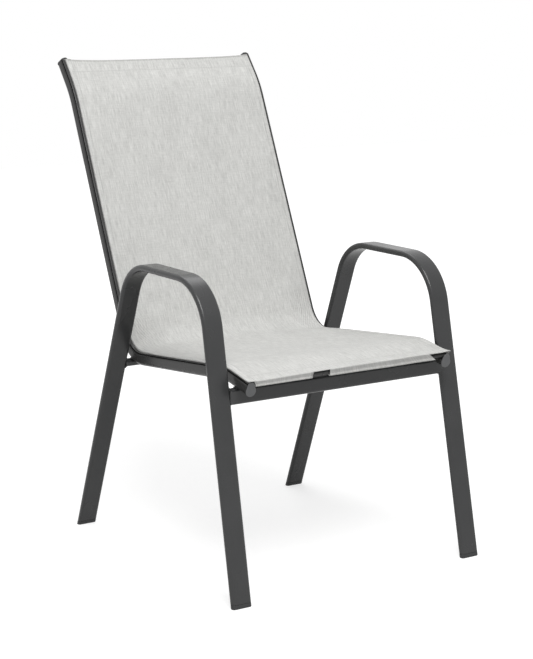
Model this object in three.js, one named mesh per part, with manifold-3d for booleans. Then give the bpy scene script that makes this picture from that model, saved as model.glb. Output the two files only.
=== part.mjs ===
// A stackable garden armchair with a fabric sling, in millimetres.
// The chair faces -Y, +X is the sitter's left, +Z is up and the floor is at zero.
// Routes are drawn in the YZ plane, so the two parts of a Vector2 hold Y and Z.
import * as THREE from 'three';
import { mergeVertices } from 'three/addons/utils/BufferGeometryUtils.js';
import Module from 'manifold-3d';

const wasm = await Module();
wasm.setup();

// Side frames: one flat-oval tube each, bent into a front leg, an arm and a rear leg
const FRAME_HALF_TRACK = 250;
const FRAME_WIDTH = 40;
const FRAME_THICKNESS = 12;
const FRAME_CORNER_SHARE = 0.45;
const FRAME_WALL = 1.2;
const FRAME_LEAN_SHARE = 0.01;
const FRONT_FOOT_Y = -328.4;
const ARM_FRONT_Y = -223.7;
const ARM_REAR_Y = 48.7;
const REAR_FOOT_Y = 292.3;
const ARM_HEIGHT = 570.8;
const ARM_FRONT_DROP = 3.4;
const ARM_FRONT_RADIUS = 100;
const ARM_REAR_RADIUS = 96;

// Foot plugs: a chamfered cap under the leg and a hollow spigot inside it
const FOOT_CAP_HEIGHT = 8;
const FOOT_CAP_BEVEL = 1.1;
const FOOT_SPIGOT_HEIGHT = 20;
const FOOT_SPIGOT_WALL = 1.8;

// The line of the sling's underside over a rail, from the front edge to the top edge
const SLING_FRONT_Y = -309.6;
const SLING_FRONT_Z = 399.4;
const WATERFALL_Y = -229.8;
const WATERFALL_Z = 415.9;
const WATERFALL_RADIUS = 163;
const SEAT_REAR_Y = 136.4;
const SEAT_REAR_Z = 384.6;
const SEAT_REAR_RADIUS = 61.4;
const BACK_BEND_Y = 350.4;
const BACK_BEND_RADIUS = 203;
const SLING_TOP_Y = 401;
const SLING_TOP_Z = 950.8;
const SLING_TOP_RISE = 64.4;

// Sling rails: a round tube with a small slotted channel along its sitter's side
const RAIL_INSET = 35;
const RAIL_TUBE_RADIUS = 9.4;
const RAIL_NECK_SHARE = 0.62;
const RAIL_WALL = 1.2;
const CHANNEL_RADIUS = 4.5;
const SLOT_ANGLE = 10;
const RAIL_FRONT_SETBACK = -1;
const RAIL_TOP_SETBACK = -2.2;

// Rail plugs: a teardrop flange over the rail's end and a spigot in its tube
const FLANGE_THICKNESS = 2.2;
const FLANGE_RIM = 0.8;
const FLANGE_TOP_RIM = 2;
const FLANGE_BEVEL = 0.6;
const RAIL_SPIGOT_LENGTH = 16;

// Crossbars between the side frames
const FRONT_BAR_HEIGHT = 30;
const FRONT_BAR_DEPTH = 15;
const FRONT_BAR_CORNER_SHARE = 0.4;
const REAR_BAR_RADIUS = 8;
const BAR_WALL = 1.5;
const COPE_DEPTH = 3;

// Sling and the rods in its side hems
const FABRIC = 1;
const SEAT_SAG = 5;
const CORNER_LIFT = 9;
const CORNER_LIFT_REACH = 120;
const BACK_SAG = 3;
const CORNER_FLARE = 6;
const TOP_DIP = 12;
const TOP_DIP_POWER = 5;

// Spreader bars in a pocket at each end of the sling, which keep the rails apart
const FRONT_SPREADER_WIDTH = 16;
const FRONT_SPREADER_THICKNESS = 8;
const TOP_SPREADER_WIDTH = 16;
const TOP_SPREADER_THICKNESS = 5;
const TOP_SPREADER_EASE = 2;
const SPREADER_CORNER_SHARE = 0.45;
const SPREADER_WALL = 1.2;
const POCKET_TAPER = 8;
const POCKET_SIDE_GAP = 1;

// The front pocket's slanted end and notch, and the bracket that holds its bar up in the notch
const FRONT_POCKET_SLANT = 10;
const NOTCH_X = -67;
const NOTCH_WIDTH = 34;
const NOTCH_SLANT = 6;
const BRACKET_SIDE_GAP = 2;
const BRACKET_THICKNESS = 3;
const BRACKET_BEND = 4;

// Pieces that touch stay this far apart, and a cut or a join passes its edge by this much
const CLEARANCE = 0.3;
const OVERRUN = 2;

// Sizes that follow from others: the rails' place and their bend under the sling's top edge, what fits
// in a channel and what lies along a pocket
const RAIL_X = FRAME_HALF_TRACK - RAIL_INSET;
const BACK_BEND_Z = SLING_TOP_Z - SLING_TOP_RISE;
const FRAME_CORNER = FRAME_CORNER_SHARE * FRAME_THICKNESS;
const FRONT_BAR_CORNER = FRONT_BAR_CORNER_SHARE * FRONT_BAR_DEPTH;
const HEM_RADIUS = CHANNEL_RADIUS - RAIL_WALL - CLEARANCE;
const ROD_RADIUS = HEM_RADIUS - FABRIC - CLEARANCE;
const RAIL_START = RAIL_FRONT_SETBACK + FLANGE_THICKNESS + CLEARANCE;
const FRONT_SPREADER_SETBACK = RAIL_START + CLEARANCE;
const TOP_SPREADER_SETBACK = TOP_DIP + FABRIC + TOP_SPREADER_EASE;
const FRONT_POCKET_SEAM = FRONT_SPREADER_SETBACK + FRONT_SPREADER_WIDTH + POCKET_TAPER;
const TOP_POCKET_SEAM = TOP_SPREADER_SETBACK + TOP_SPREADER_WIDTH + POCKET_TAPER;
const POCKET_HALF_WIDTH = RAIL_X - RAIL_TUBE_RADIUS - FLANGE_RIM - POCKET_SIDE_GAP;
const BRACKET_WIDTH = NOTCH_WIDTH - 2 * BRACKET_SIDE_GAP;

// How finely round forms are divided
const FRAME_STEP_ANGLE = 8;
const RAIL_STEP_ANGLE = 10.5;
const CORNER_STEPS = 3;
const ROD_SIDES = 6;
const CHANNEL_STEPS = 10;
const TUBE_STEPS = 14;
const REAR_BAR_SIDES = 24;
const SLING_HALF_STEPS = 3;
const SLING_RUN_STEPS = 4;

// Sides of the chair: the sitter's left is +X
const SIDES = { left: 1, right: -1 };

const radians = THREE.MathUtils.degToRad;
const degrees = THREE.MathUtils.radToDeg;
const yz = (y, z) => new THREE.Vector2(y, z);

// The normal of a route that points to the sitter, or outward on a side frame
const normalOf = (direction) => yz(-direction.y, direction.x);

// Straight runs joined by arcs. Each station holds its point, its direction and its length along the route.
function bentRoute(corners, radii, stepAngle) {
  const stations = [];
  const bends = [];
  const put = (point, direction) => {
    const last = stations.at(-1);
    const along = last ? last.along + last.point.distanceTo(point) : 0;
    stations.push({ point, direction, along });
  };
  put(corners[0], corners[1].clone().sub(corners[0]).normalize());
  radii.forEach((radius, index) => {
    const [before, corner, after] = corners.slice(index, index + 3);
    const into = corner.clone().sub(before).normalize();
    const out = after.clone().sub(corner).normalize();
    const turn = Math.atan2(into.cross(out), into.dot(out));
    const start = corner.clone().addScaledVector(into, -radius * Math.tan(Math.abs(turn) / 2));
    const centre = start.clone().addScaledVector(normalOf(into), radius * Math.sign(turn));
    const steps = Math.ceil(Math.abs(turn) / radians(stepAngle));
    for (let step = 0; step <= steps; step += 1) {
      const angle = (turn * step) / steps;
      put(start.clone().rotateAround(centre, angle), into.clone().rotateAround(yz(0, 0), angle));
    }
    bends.push({ centre, radius, from: stations.at(-1 - steps).along, to: stations.at(-1).along });
  });
  put(corners.at(-1), corners.at(-1).clone().sub(corners.at(-2)).normalize());
  return { stations, bends, length: stations.at(-1).along };
}

// The place on a route at a length along it
function stationAt(stations, along) {
  const index = Math.max(1, stations.findIndex((station) => station.along >= along));
  const [before, after] = [stations[index - 1], stations[index]];
  const share = (along - before.along) / (after.along - before.along);
  const direction = before.direction.clone().lerp(after.direction, share).normalize();
  return { point: before.point.clone().lerp(after.point, share), direction, along };
}

// The stations of a route from one length to another, with extra ones where they are asked for
function span(stations, from, to, extra = []) {
  const inside = stations.filter(({ along }) => along > from && along < to);
  const added = [from, ...extra, to].map((along) => stationAt(stations, along));
  return [...inside, ...added].sort((one, other) => one.along - other.along);
}

// A route as a curve that an outline is swept along. An outline's x runs to -X and its y to the normal.
class SweepPath extends THREE.Curve {
  constructor(stations, x) {
    super();
    this.stations = stations;
    this.x = x;
  }

  getSpacedPoints() {
    return this.stations.map(({ point }) => new THREE.Vector3(this.x, point.x, point.y));
  }

  computeFrenetFrames() {
    const across = ({ x, y }) => new THREE.Vector3(0, x, y);
    return {
      tangents: this.stations.map(({ direction }) => across(direction)),
      normals: this.stations.map(() => new THREE.Vector3(-1, 0, 0)),
      binormals: this.stations.map(({ direction }) => across(normalOf(direction))),
    };
  }
}

function sweep(shape, stations, x = 0) {
  const extrudePath = new SweepPath(stations, x);
  return new THREE.ExtrudeGeometry(shape, { steps: stations.length - 1, extrudePath });
}

// The frame of a station: x along the first axis given, y along the normal and z squarely to both
function frameOf(station, x, xAxis) {
  const normal = normalOf(station.direction);
  const yAxis = new THREE.Vector3(0, normal.x, normal.y);
  const zAxis = xAxis.clone().cross(yAxis);
  const matrix = new THREE.Matrix4().makeBasis(xAxis, yAxis, zAxis);
  return matrix.setPosition(x, station.point.x, station.point.y);
}

// Points of an arc in degrees, both ends included
function arc(centreX, centreY, radius, from, to, steps) {
  return Array.from({ length: steps + 1 }, (_, step) => {
    const angle = radians(from + ((to - from) * step) / steps);
    return new THREE.Vector2(centreX + radius * Math.cos(angle), centreY + radius * Math.sin(angle));
  });
}

function roundedBox(width, height, corner, steps = CORNER_STEPS) {
  const right = width / 2 - corner;
  const top = height / 2 - corner;
  return [
    ...arc(right, top, corner, 0, 90, steps),
    ...arc(-right, top, corner, 90, 180, steps),
    ...arc(-right, -top, corner, 180, 270, steps),
    ...arc(right, -top, corner, 270, 360, steps),
  ];
}

// An outline with holes, turned to run anticlockwise, which lets the extrusion face its holes the right way
function shapeOf(points, holes = []) {
  const outline = THREE.ShapeUtils.isClockWise(points) ? points.toReversed() : points;
  const shape = new THREE.Shape(outline);
  shape.holes = holes.map((hole) => new THREE.Path(hole));
  return shape;
}

function tubeShape(width, height, corner, wall) {
  const hollow = roundedBox(width - 2 * wall, height - 2 * wall, corner - wall);
  return shapeOf(roundedBox(width, height, corner), [hollow]);
}

// Closed meshes become solids that can be joined and cut, and come back as meshes
function solidOf(geometry) {
  const bare = geometry.clone();
  bare.deleteAttribute('normal');
  bare.deleteAttribute('uv');
  const merged = mergeVertices(bare);
  const vertProperties = merged.attributes.position.array;
  const triVerts = Uint32Array.from(merged.index.array);
  return new wasm.Manifold(new wasm.Mesh({ numProp: 3, vertProperties, triVerts }));
}

function geometryOf(solid) {
  const { vertProperties, triVerts } = solid.getMesh();
  const geometry = new THREE.BufferGeometry();
  geometry.setAttribute('position', new THREE.BufferAttribute(vertProperties, 3));
  geometry.setIndex(new THREE.BufferAttribute(triVerts, 1));
  geometry.computeVertexNormals();
  return geometry;
}

const join = (first, ...others) => others.reduce((sum, other) => sum.add(other), first);

// Routes
const frameRoute = bentRoute(
  [
    yz(FRONT_FOOT_Y, 0),
    yz(ARM_FRONT_Y, ARM_HEIGHT - ARM_FRONT_DROP),
    yz(ARM_REAR_Y, ARM_HEIGHT),
    yz(REAR_FOOT_Y, 0),
  ],
  [ARM_FRONT_RADIUS, ARM_REAR_RADIUS],
  FRAME_STEP_ANGLE,
);
const slingRoute = bentRoute(
  [
    yz(SLING_FRONT_Y, SLING_FRONT_Z),
    yz(WATERFALL_Y, WATERFALL_Z),
    yz(SEAT_REAR_Y, SEAT_REAR_Z),
    yz(BACK_BEND_Y, BACK_BEND_Z),
    yz(SLING_TOP_Y, SLING_TOP_Z),
  ],
  [WATERFALL_RADIUS, SEAT_REAR_RADIUS, BACK_BEND_RADIUS],
  RAIL_STEP_ANGLE,
);
const frontLeg = frameRoute.stations[0];
const rearLeg = frameRoute.stations.at(-1);
const slingFront = slingRoute.stations[0];
const slingTop = slingRoute.stations.at(-1);

// Depths below the sling line in a rail. Its channel and tube cross at the neck.
const HALF_NECK = RAIL_NECK_SHARE * CHANNEL_RADIUS;
const CHANNEL_NECK = Math.sqrt(CHANNEL_RADIUS ** 2 - HALF_NECK ** 2);
const TUBE_NECK = Math.sqrt(RAIL_TUBE_RADIUS ** 2 - HALF_NECK ** 2);
const RAIL_TUBE_DROP = CHANNEL_NECK + TUBE_NECK;
const CHANNEL_DEPTH = CLEARANCE + CHANNEL_RADIUS;
const TUBE_DEPTH = CHANNEL_DEPTH + RAIL_TUBE_DROP;
const RAIL_DEPTH = TUBE_DEPTH + RAIL_TUBE_RADIUS;
const RAIL_END = slingRoute.length - RAIL_TOP_SETBACK - FLANGE_THICKNESS - CLEARANCE;
const railStations = span(slingRoute.stations, RAIL_START, RAIL_END);

// The side frames stand in leaning planes, so a piece on them is sheared outward and moved to its side
function leanOut(geometry, side, forward = 0) {
  geometry.applyMatrix4(new THREE.Matrix4().makeShear(0, 0, 0, 0, -side * FRAME_LEAN_SHARE, forward));
  return geometry.translate(side * (FRAME_HALF_TRACK + FRAME_LEAN_SHARE * ARM_HEIGHT), 0, 0);
}

function sideFrame(side) {
  const shape = tubeShape(FRAME_WIDTH, FRAME_THICKNESS, FRAME_CORNER, FRAME_WALL);
  const tube = leanOut(sweep(shape, frameRoute.stations), side);
  return geometryOf(solidOf(tube).trimByPlane([0, 0, 1], FOOT_CAP_HEIGHT + CLEARANCE));
}

// The frame as a full bar, larger by the clearance, which shapes the ends of the crossbars
function frameCutter(side) {
  const grown = 2 * CLEARANCE;
  const outline = roundedBox(FRAME_WIDTH + grown, FRAME_THICKNESS + grown, FRAME_CORNER + CLEARANCE);
  return solidOf(leanOut(sweep(shapeOf(outline), frameRoute.stations), side));
}

// A foot plug is drawn level and sheared to its leg's slope
function footPlug(side, leg) {
  const slope = leg.direction.x / leg.direction.y;
  const thickness = FRAME_THICKNESS / Math.abs(leg.direction.y);
  const cap = new THREE.ExtrudeGeometry(shapeOf(roundedBox(FRAME_WIDTH, thickness, FRAME_CORNER)), {
    depth: FOOT_CAP_HEIGHT - 2 * FOOT_CAP_BEVEL,
    bevelThickness: FOOT_CAP_BEVEL,
    bevelSize: FOOT_CAP_BEVEL,
    bevelOffset: -FOOT_CAP_BEVEL,
    bevelSegments: 1,
  }).translate(0, 0, FOOT_CAP_BEVEL);
  const inset = FRAME_WALL + CLEARANCE;
  const sleeve = tubeShape(
    FRAME_WIDTH - 2 * inset,
    thickness - 2 * inset,
    FRAME_CORNER - inset,
    FOOT_SPIGOT_WALL,
  );
  const spigot = new THREE.ExtrudeGeometry(sleeve, {
    depth: FOOT_SPIGOT_HEIGHT + OVERRUN,
    bevelEnabled: false,
  }).translate(0, 0, FOOT_CAP_HEIGHT - OVERRUN);
  const plug = geometryOf(join(solidOf(cap), solidOf(spigot)));
  return leanOut(plug, side, slope).translate(0, leg.point.x, 0);
}

// How far a rounded box reaches from its middle towards a direction
function reachOf(width, height, corner, direction) {
  const [flatX, flatY] = [width / 2 - corner, height / 2 - corner];
  return flatX * Math.abs(direction.x) + flatY * Math.abs(direction.y) + corner;
}

// The front crossbar lies on the front legs' middle line, and the rails' straight front runs rest on it
function frontBarCentre() {
  const normal = normalOf(slingFront.direction);
  const reach = reachOf(FRONT_BAR_DEPTH, FRONT_BAR_HEIGHT, FRONT_BAR_CORNER, normal);
  const below = slingFront.point.clone().addScaledVector(normal, -(RAIL_DEPTH + CLEARANCE + reach));
  const offset = below.clone().sub(frontLeg.point);
  const along = offset.dot(normal) / frontLeg.direction.dot(normal);
  return frontLeg.point.clone().addScaledVector(frontLeg.direction, along);
}

// The rear crossbar lies on the rear legs' middle line, against the rails' bend at the seat's rear
function rearBarCentre() {
  const bend = slingRoute.bends[1];
  const distance = bend.radius + RAIL_DEPTH + CLEARANCE + REAR_BAR_RADIUS;
  const up = rearLeg.direction.clone().negate();
  const offset = bend.centre.clone().sub(rearLeg.point);
  const middle = offset.dot(up);
  const half = Math.sqrt(distance ** 2 - offset.cross(up) ** 2);
  return rearLeg.point.clone().addScaledVector(up, middle - half);
}

// A crossbar reaches from frame to frame, with its ends coped to the frames' round inner edges
function crossbar(shape, centre) {
  const track = FRAME_HALF_TRACK + FRAME_LEAN_SHARE * (ARM_HEIGHT - centre.y);
  const half = track - FRAME_WIDTH / 2 + COPE_DEPTH;
  const bar = new THREE.ExtrudeGeometry(shape, { depth: 2 * half, bevelEnabled: false })
    .rotateX(Math.PI / 2)
    .rotateZ(Math.PI / 2)
    .translate(-half, centre.x, centre.y);
  const coped = Object.values(SIDES).reduce((rest, side) => rest.subtract(frameCutter(side)), solidOf(bar));
  return geometryOf(coped);
}

// The section of a rail, with x outward: tube, slotted channel and the web between them
function railSection(side) {
  const slot = 90 - SLOT_ANGLE;
  const bore = CHANNEL_RADIUS - RAIL_WALL;
  const halfSlot = FABRIC / 2 + CLEARANCE;
  const outerHalf = degrees(Math.asin(halfSlot / CHANNEL_RADIUS));
  const innerHalf = degrees(Math.asin(halfSlot / bore));
  const channelNeck = degrees(Math.acos(CHANNEL_NECK / CHANNEL_RADIUS));
  const tubeNeck = degrees(Math.acos(TUBE_NECK / RAIL_TUBE_RADIUS));
  const half = CHANNEL_STEPS / 2;
  const outline = [
    ...arc(0, -CHANNEL_DEPTH, CHANNEL_RADIUS, slot + outerHalf, 270 - channelNeck, half),
    ...arc(0, -TUBE_DEPTH, RAIL_TUBE_RADIUS, 90 + tubeNeck, 450 - tubeNeck, TUBE_STEPS).slice(1, -1),
    ...arc(0, -CHANNEL_DEPTH, CHANNEL_RADIUS, 270 + channelNeck, 360 + slot - outerHalf, half),
    ...arc(0, -CHANNEL_DEPTH, bore, 360 + slot - innerHalf, slot + innerHalf, CHANNEL_STEPS),
  ];
  const outward = (points) => points.map(({ x, y }) => new THREE.Vector2(-side * x, y));
  return shapeOf(outward(outline), [outward(tubeHollow(0))]);
}

// The hollow of a rail's tube under its web, smaller all round by an inset
function tubeHollow(inset) {
  const radius = RAIL_TUBE_RADIUS - RAIL_WALL - inset;
  const roof = RAIL_TUBE_DROP - CHANNEL_RADIUS - inset;
  const half = degrees(Math.acos(roof / radius));
  return arc(0, -TUBE_DEPTH, radius, 90 + half, 450 - half, TUBE_STEPS - 2);
}

// A teardrop round a rail's section: two arcs with straight sides between them, level with the channel's top
function flangeOutline() {
  const rim = RAIL_TUBE_RADIUS + FLANGE_RIM;
  const topRim = CHANNEL_RADIUS + FLANGE_TOP_RIM;
  const topDepth = CLEARANCE + topRim;
  const lean = degrees(Math.acos((rim - topRim) / (TUBE_DEPTH - topDepth)));
  return [
    ...arc(0, -topDepth, topRim, 90 - lean, 90 + lean, CHANNEL_STEPS / 2),
    ...arc(0, -TUBE_DEPTH, rim, 90 + lean, 450 - lean, TUBE_STEPS),
  ];
}

// A plug is drawn with its flange before the rail's end and its spigot in the rail, towards +z
function railPlug(side, station, inward) {
  const flange = new THREE.ExtrudeGeometry(shapeOf(flangeOutline()), {
    depth: FLANGE_THICKNESS - 2 * FLANGE_BEVEL,
    bevelThickness: FLANGE_BEVEL,
    bevelSize: FLANGE_BEVEL,
    bevelOffset: -FLANGE_BEVEL,
    bevelSegments: 1,
  }).translate(0, 0, FLANGE_BEVEL - FLANGE_THICKNESS - CLEARANCE);
  const spigot = new THREE.ExtrudeGeometry(shapeOf(tubeHollow(CLEARANCE)), {
    depth: RAIL_SPIGOT_LENGTH + CLEARANCE + FLANGE_THICKNESS / 2,
    bevelEnabled: false,
  }).translate(0, 0, -CLEARANCE - FLANGE_THICKNESS / 2);
  const place = frameOf(station, side * RAIL_X, new THREE.Vector3(-inward, 0, 0));
  return geometryOf(join(solidOf(flange), solidOf(spigot)).transform(place.elements));
}

// The hem of the sling in a channel: a neck through the slot and a loop round the rod
function hemSection(side) {
  const slot = 90 - SLOT_ANGLE;
  const half = degrees(Math.asin(FABRIC / 2 / HEM_RADIUS));
  const rise = (CHANNEL_DEPTH + FABRIC / 2) / Math.sin(radians(slot));
  const up = new THREE.Vector2(Math.cos(radians(slot)), Math.sin(radians(slot)));
  const across = new THREE.Vector2(up.y, -up.x).multiplyScalar(FABRIC / 2);
  const head = new THREE.Vector2(0, -CHANNEL_DEPTH).addScaledVector(up, rise);
  const outline = [
    head.clone().sub(across),
    ...arc(0, -CHANNEL_DEPTH, HEM_RADIUS, slot + half, 360 + slot - half, ROD_SIDES),
    head.clone().add(across),
  ];
  const tunnel = arc(0, -CHANNEL_DEPTH, ROD_RADIUS + CLEARANCE, 0, 360, ROD_SIDES).slice(1);
  const outward = (points) => points.map(({ x, y }) => new THREE.Vector2(-side * x, y));
  return shapeOf(outward(outline), [outward(tunnel)]);
}

function hemRod(side) {
  const outline = arc(0, -CHANNEL_DEPTH, ROD_RADIUS, 0, 360, ROD_SIDES).slice(1);
  return sweep(shapeOf(outline), railStations, side * RAIL_X);
}

// The sling hangs free between the rails inside this half width, and its edge lies over the slot
const FREE_HALF_WIDTH = RAIL_X - CHANNEL_RADIUS - FABRIC * 3;
const SLING_HALF_WIDTH =
  RAIL_X + CHANNEL_DEPTH * Math.tan(radians(SLOT_ANGLE)) + FABRIC / 2 / Math.cos(radians(SLOT_ANGLE));

function slingSection() {
  const across = Array.from({ length: 2 * SLING_HALF_STEPS + 1 }, (_, step) => step / SLING_HALF_STEPS - 1);
  const under = across.map((share) => new THREE.Vector2(share * FREE_HALF_WIDTH, 0));
  const over = across.map((share) => new THREE.Vector2(-share * FREE_HALF_WIDTH, FABRIC));
  return shapeOf([
    new THREE.Vector2(-SLING_HALF_WIDTH, 0),
    ...under,
    new THREE.Vector2(SLING_HALF_WIDTH, 0),
    new THREE.Vector2(SLING_HALF_WIDTH - FABRIC / 2, FABRIC),
    ...over,
    new THREE.Vector2(FABRIC / 2 - SLING_HALF_WIDTH, FABRIC),
  ]);
}

// A smooth bump of height one between two lengths along the sling
function bump(along, from, to) {
  const share = THREE.MathUtils.clamp((along - from) / (to - from), 0, 1);
  return Math.sin(Math.PI * share) ** 2;
}

// How far the middle of the sling lies from its rails' line, towards the sitter: it sags in the seat and
// the back and cuts the corner between them
function slingLift(along) {
  const [, corner] = slingRoute.bends;
  const middle = (corner.from + corner.to) / 2;
  const seat = bump(along, FRONT_POCKET_SEAM, middle - CORNER_LIFT_REACH / 2);
  const back = bump(along, middle + CORNER_LIFT_REACH / 2, slingRoute.length - TOP_POCKET_SEAM);
  const turn = bump(along, middle - CORNER_LIFT_REACH, middle + CORNER_LIFT_REACH);
  return CORNER_LIFT * turn - SEAT_SAG * seat - BACK_SAG * back;
}

// Moves each point of a mesh by a rule that is given the point
function reshape(geometry, rule) {
  const { position } = geometry.attributes;
  const point = new THREE.Vector3();
  for (let index = 0; index < position.count; index += 1) {
    rule(point.fromBufferAttribute(position, index));
    position.setXYZ(index, point.x, point.y, point.z);
  }
  return geometry;
}

// The top edge dips between the rails, and the hem under it follows
function dipTop(point) {
  const below = yz(slingTop.point.x - point.y, slingTop.point.y - point.z).dot(slingTop.direction);
  const share = Math.max(0, 1 - Math.max(0, below) / TOP_POCKET_SEAM);
  const dip = TOP_DIP * share * (1 - Math.min(1, Math.abs(point.x) / SLING_HALF_WIDTH) ** TOP_DIP_POWER);
  point.y -= dip * slingTop.direction.x;
  point.z -= dip * slingTop.direction.y;
}

// The panel: a strip swept along the sling line, then sagged, flared at its front corners
// and dipped at its top
function slingPanel() {
  const [waterfall, corner, flare] = slingRoute.bends;
  const runs = [
    [waterfall.to, corner.from],
    [corner.to, flare.from],
  ];
  const inner = Array.from({ length: SLING_RUN_STEPS - 1 }, (_, step) => (step + 1) / SLING_RUN_STEPS);
  const marks = runs.flatMap(([from, to]) => inner.map((share) => from + (to - from) * share));
  const seams = [FRONT_POCKET_SEAM, slingRoute.length - TOP_POCKET_SEAM];
  const stations = span(slingRoute.stations, 0, slingRoute.length, [...marks, ...seams]);
  const nearest = ({ y, z }) => {
    const place = yz(y, z);
    const far = (station) => station.point.distanceTo(place);
    return stations.reduce((best, station) => (far(station) < far(best) ? station : best));
  };
  return reshape(sweep(slingSection(), stations), (point) => {
    const { direction, along } = nearest(point);
    const across = Math.min(1, Math.abs(point.x) / FREE_HALF_WIDTH);
    const lift = slingLift(along) * (1 - across ** 2);
    const normal = normalOf(direction);
    point.y += lift * normal.x;
    point.z += lift * normal.y;
    if (along === 0 && across === 1) point.x += Math.sign(point.x) * CORNER_FLARE;
    dipTop(point);
  });
}

// The wall of a pocket round a bar, drawn from the fabric's edge inward, with both ends in the panel
function pocketShape(setback, width, thickness, seam) {
  const drop = thickness + 2 * CLEARANCE + FABRIC;
  const fold = setback + width + 2 * CLEARANCE;
  const slope = Math.atan2(drop, seam - fold);
  const thick = FABRIC / Math.sin(slope);
  const inner = seam - thick - drop / Math.tan(slope) + FABRIC / Math.tan(slope);
  const top = FABRIC / 2;
  const rest = top / Math.tan(slope);
  return shapeOf([
    new THREE.Vector2(0, top),
    new THREE.Vector2(0, FABRIC - drop),
    new THREE.Vector2(FABRIC, -drop),
    new THREE.Vector2(fold, -drop),
    new THREE.Vector2(seam + rest, top),
    new THREE.Vector2(seam + rest - thick, top),
    new THREE.Vector2(inner, FABRIC - drop),
    new THREE.Vector2(FABRIC, FABRIC - drop),
    new THREE.Vector2(FABRIC, top),
  ]);
}

// A prism cut through the front pocket: an outline across the chair, with y up from the sling line
function pocketCutter(points) {
  const depth = FRONT_POCKET_SEAM + 4 * OVERRUN;
  const prism = new THREE.ExtrudeGeometry(shapeOf(points), { depth, bevelEnabled: false });
  const place = frameOf(slingFront, 0, new THREE.Vector3(1, 0, 0));
  return solidOf(prism.translate(0, 0, OVERRUN - depth).applyMatrix4(place));
}

function frontPocket() {
  const depth = 2 * POCKET_HALF_WIDTH;
  const wall = new THREE.ExtrudeGeometry(
    pocketShape(FRONT_SPREADER_SETBACK, FRONT_SPREADER_WIDTH, FRONT_SPREADER_THICKNESS, FRONT_POCKET_SEAM),
    { depth, bevelEnabled: false },
  );
  const { direction } = slingFront;
  const place = frameOf(slingFront, -depth / 2, new THREE.Vector3(0, direction.x, direction.y));
  const bottom = -(FRONT_SPREADER_THICKNESS + 2 * CLEARANCE + FABRIC);
  const low = bottom - OVERRUN;
  const notch = pocketCutter([
    new THREE.Vector2(NOTCH_X - NOTCH_WIDTH / 2, low),
    new THREE.Vector2(NOTCH_X + NOTCH_WIDTH / 2 + NOTCH_SLANT, low),
    new THREE.Vector2(NOTCH_X + NOTCH_WIDTH / 2, OVERRUN),
    new THREE.Vector2(NOTCH_X - NOTCH_WIDTH / 2, OVERRUN),
  ]);
  const end = pocketCutter([
    new THREE.Vector2(POCKET_HALF_WIDTH - FRONT_POCKET_SLANT, low),
    new THREE.Vector2(POCKET_HALF_WIDTH + OVERRUN, low),
    new THREE.Vector2(POCKET_HALF_WIDTH + OVERRUN, OVERRUN),
    new THREE.Vector2(POCKET_HALF_WIDTH, OVERRUN),
  ]);
  return solidOf(wall.applyMatrix4(place)).subtract(notch).subtract(end);
}

function topPocket() {
  const wall = new THREE.ExtrudeGeometry(
    pocketShape(TOP_SPREADER_SETBACK, TOP_SPREADER_WIDTH, TOP_SPREADER_THICKNESS, TOP_POCKET_SEAM),
    { depth: 2 * POCKET_HALF_WIDTH, steps: 2 * SLING_HALF_STEPS, bevelEnabled: false },
  );
  const { direction } = slingTop;
  const place = frameOf(slingTop, POCKET_HALF_WIDTH, new THREE.Vector3(0, -direction.x, -direction.y));
  return solidOf(reshape(wall.applyMatrix4(place), dipTop));
}

function sling() {
  const hem = (side) => solidOf(sweep(hemSection(side), railStations, side * RAIL_X));
  const hems = Object.values(SIDES).map(hem);
  return geometryOf(join(solidOf(slingPanel()), frontPocket(), topPocket(), ...hems));
}

// A flat-oval tube in a pocket, drawn from the fabric's edge inward and below the sling line
function spreader(station, inward, setback, width, thickness, half) {
  const shape = tubeShape(width, thickness, SPREADER_CORNER_SHARE * thickness, SPREADER_WALL);
  const { direction } = station;
  const xAxis = new THREE.Vector3(0, inward * direction.x, inward * direction.y);
  return new THREE.ExtrudeGeometry(shape, { depth: 2 * half, bevelEnabled: false })
    .translate(setback + width / 2, -CLEARANCE - thickness / 2, 0)
    .applyMatrix4(frameOf(station, -inward * half, xAxis));
}

// The front bar's ends meet the rails' channels, or their tubes where these reach further in
function frontSpreader() {
  const lower = TUBE_DEPTH - CLEARANCE - FRONT_SPREADER_THICKNESS;
  const tubeHalf = Math.sqrt(Math.max(0, RAIL_TUBE_RADIUS ** 2 - lower ** 2));
  const half = RAIL_X - Math.max(CHANNEL_RADIUS, tubeHalf) - CLEARANCE;
  const [width, thickness] = [FRONT_SPREADER_WIDTH, FRONT_SPREADER_THICKNESS];
  return spreader(slingFront, 1, FRONT_SPREADER_SETBACK, width, thickness, half);
}

// The top bar's ends meet the rails' channels
function topSpreader() {
  const half = RAIL_X - CHANNEL_RADIUS - CLEARANCE;
  const [width, thickness] = [TOP_SPREADER_WIDTH, TOP_SPREADER_THICKNESS];
  return spreader(slingTop, -1, TOP_SPREADER_SETBACK + CLEARANCE, width, thickness, half);
}

// The bracket rises from the front crossbar's top and turns forward under the front bar
function supportBracket(bar) {
  const depth = FRONT_SPREADER_THICKNESS + 2 * CLEARANCE + BRACKET_THICKNESS / 2;
  const under = slingFront.point.clone().addScaledVector(normalOf(slingFront.direction), -depth);
  const seat = (along) => under.clone().addScaledVector(slingFront.direction, along);
  const corners = [
    yz(bar.x, bar.y + FRONT_BAR_HEIGHT / 2 + CLEARANCE),
    seat((bar.x - under.x) / slingFront.direction.x),
    seat(FRONT_SPREADER_SETBACK + FRONT_SPREADER_WIDTH / 4),
  ];
  const { stations } = bentRoute(corners, [BRACKET_BEND], 3 * FRAME_STEP_ANGLE);
  const plate = roundedBox(BRACKET_WIDTH, BRACKET_THICKNESS, BRACKET_THICKNESS / 4, 1);
  return sweep(shapeOf(plate), stations, NOTCH_X);
}

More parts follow.
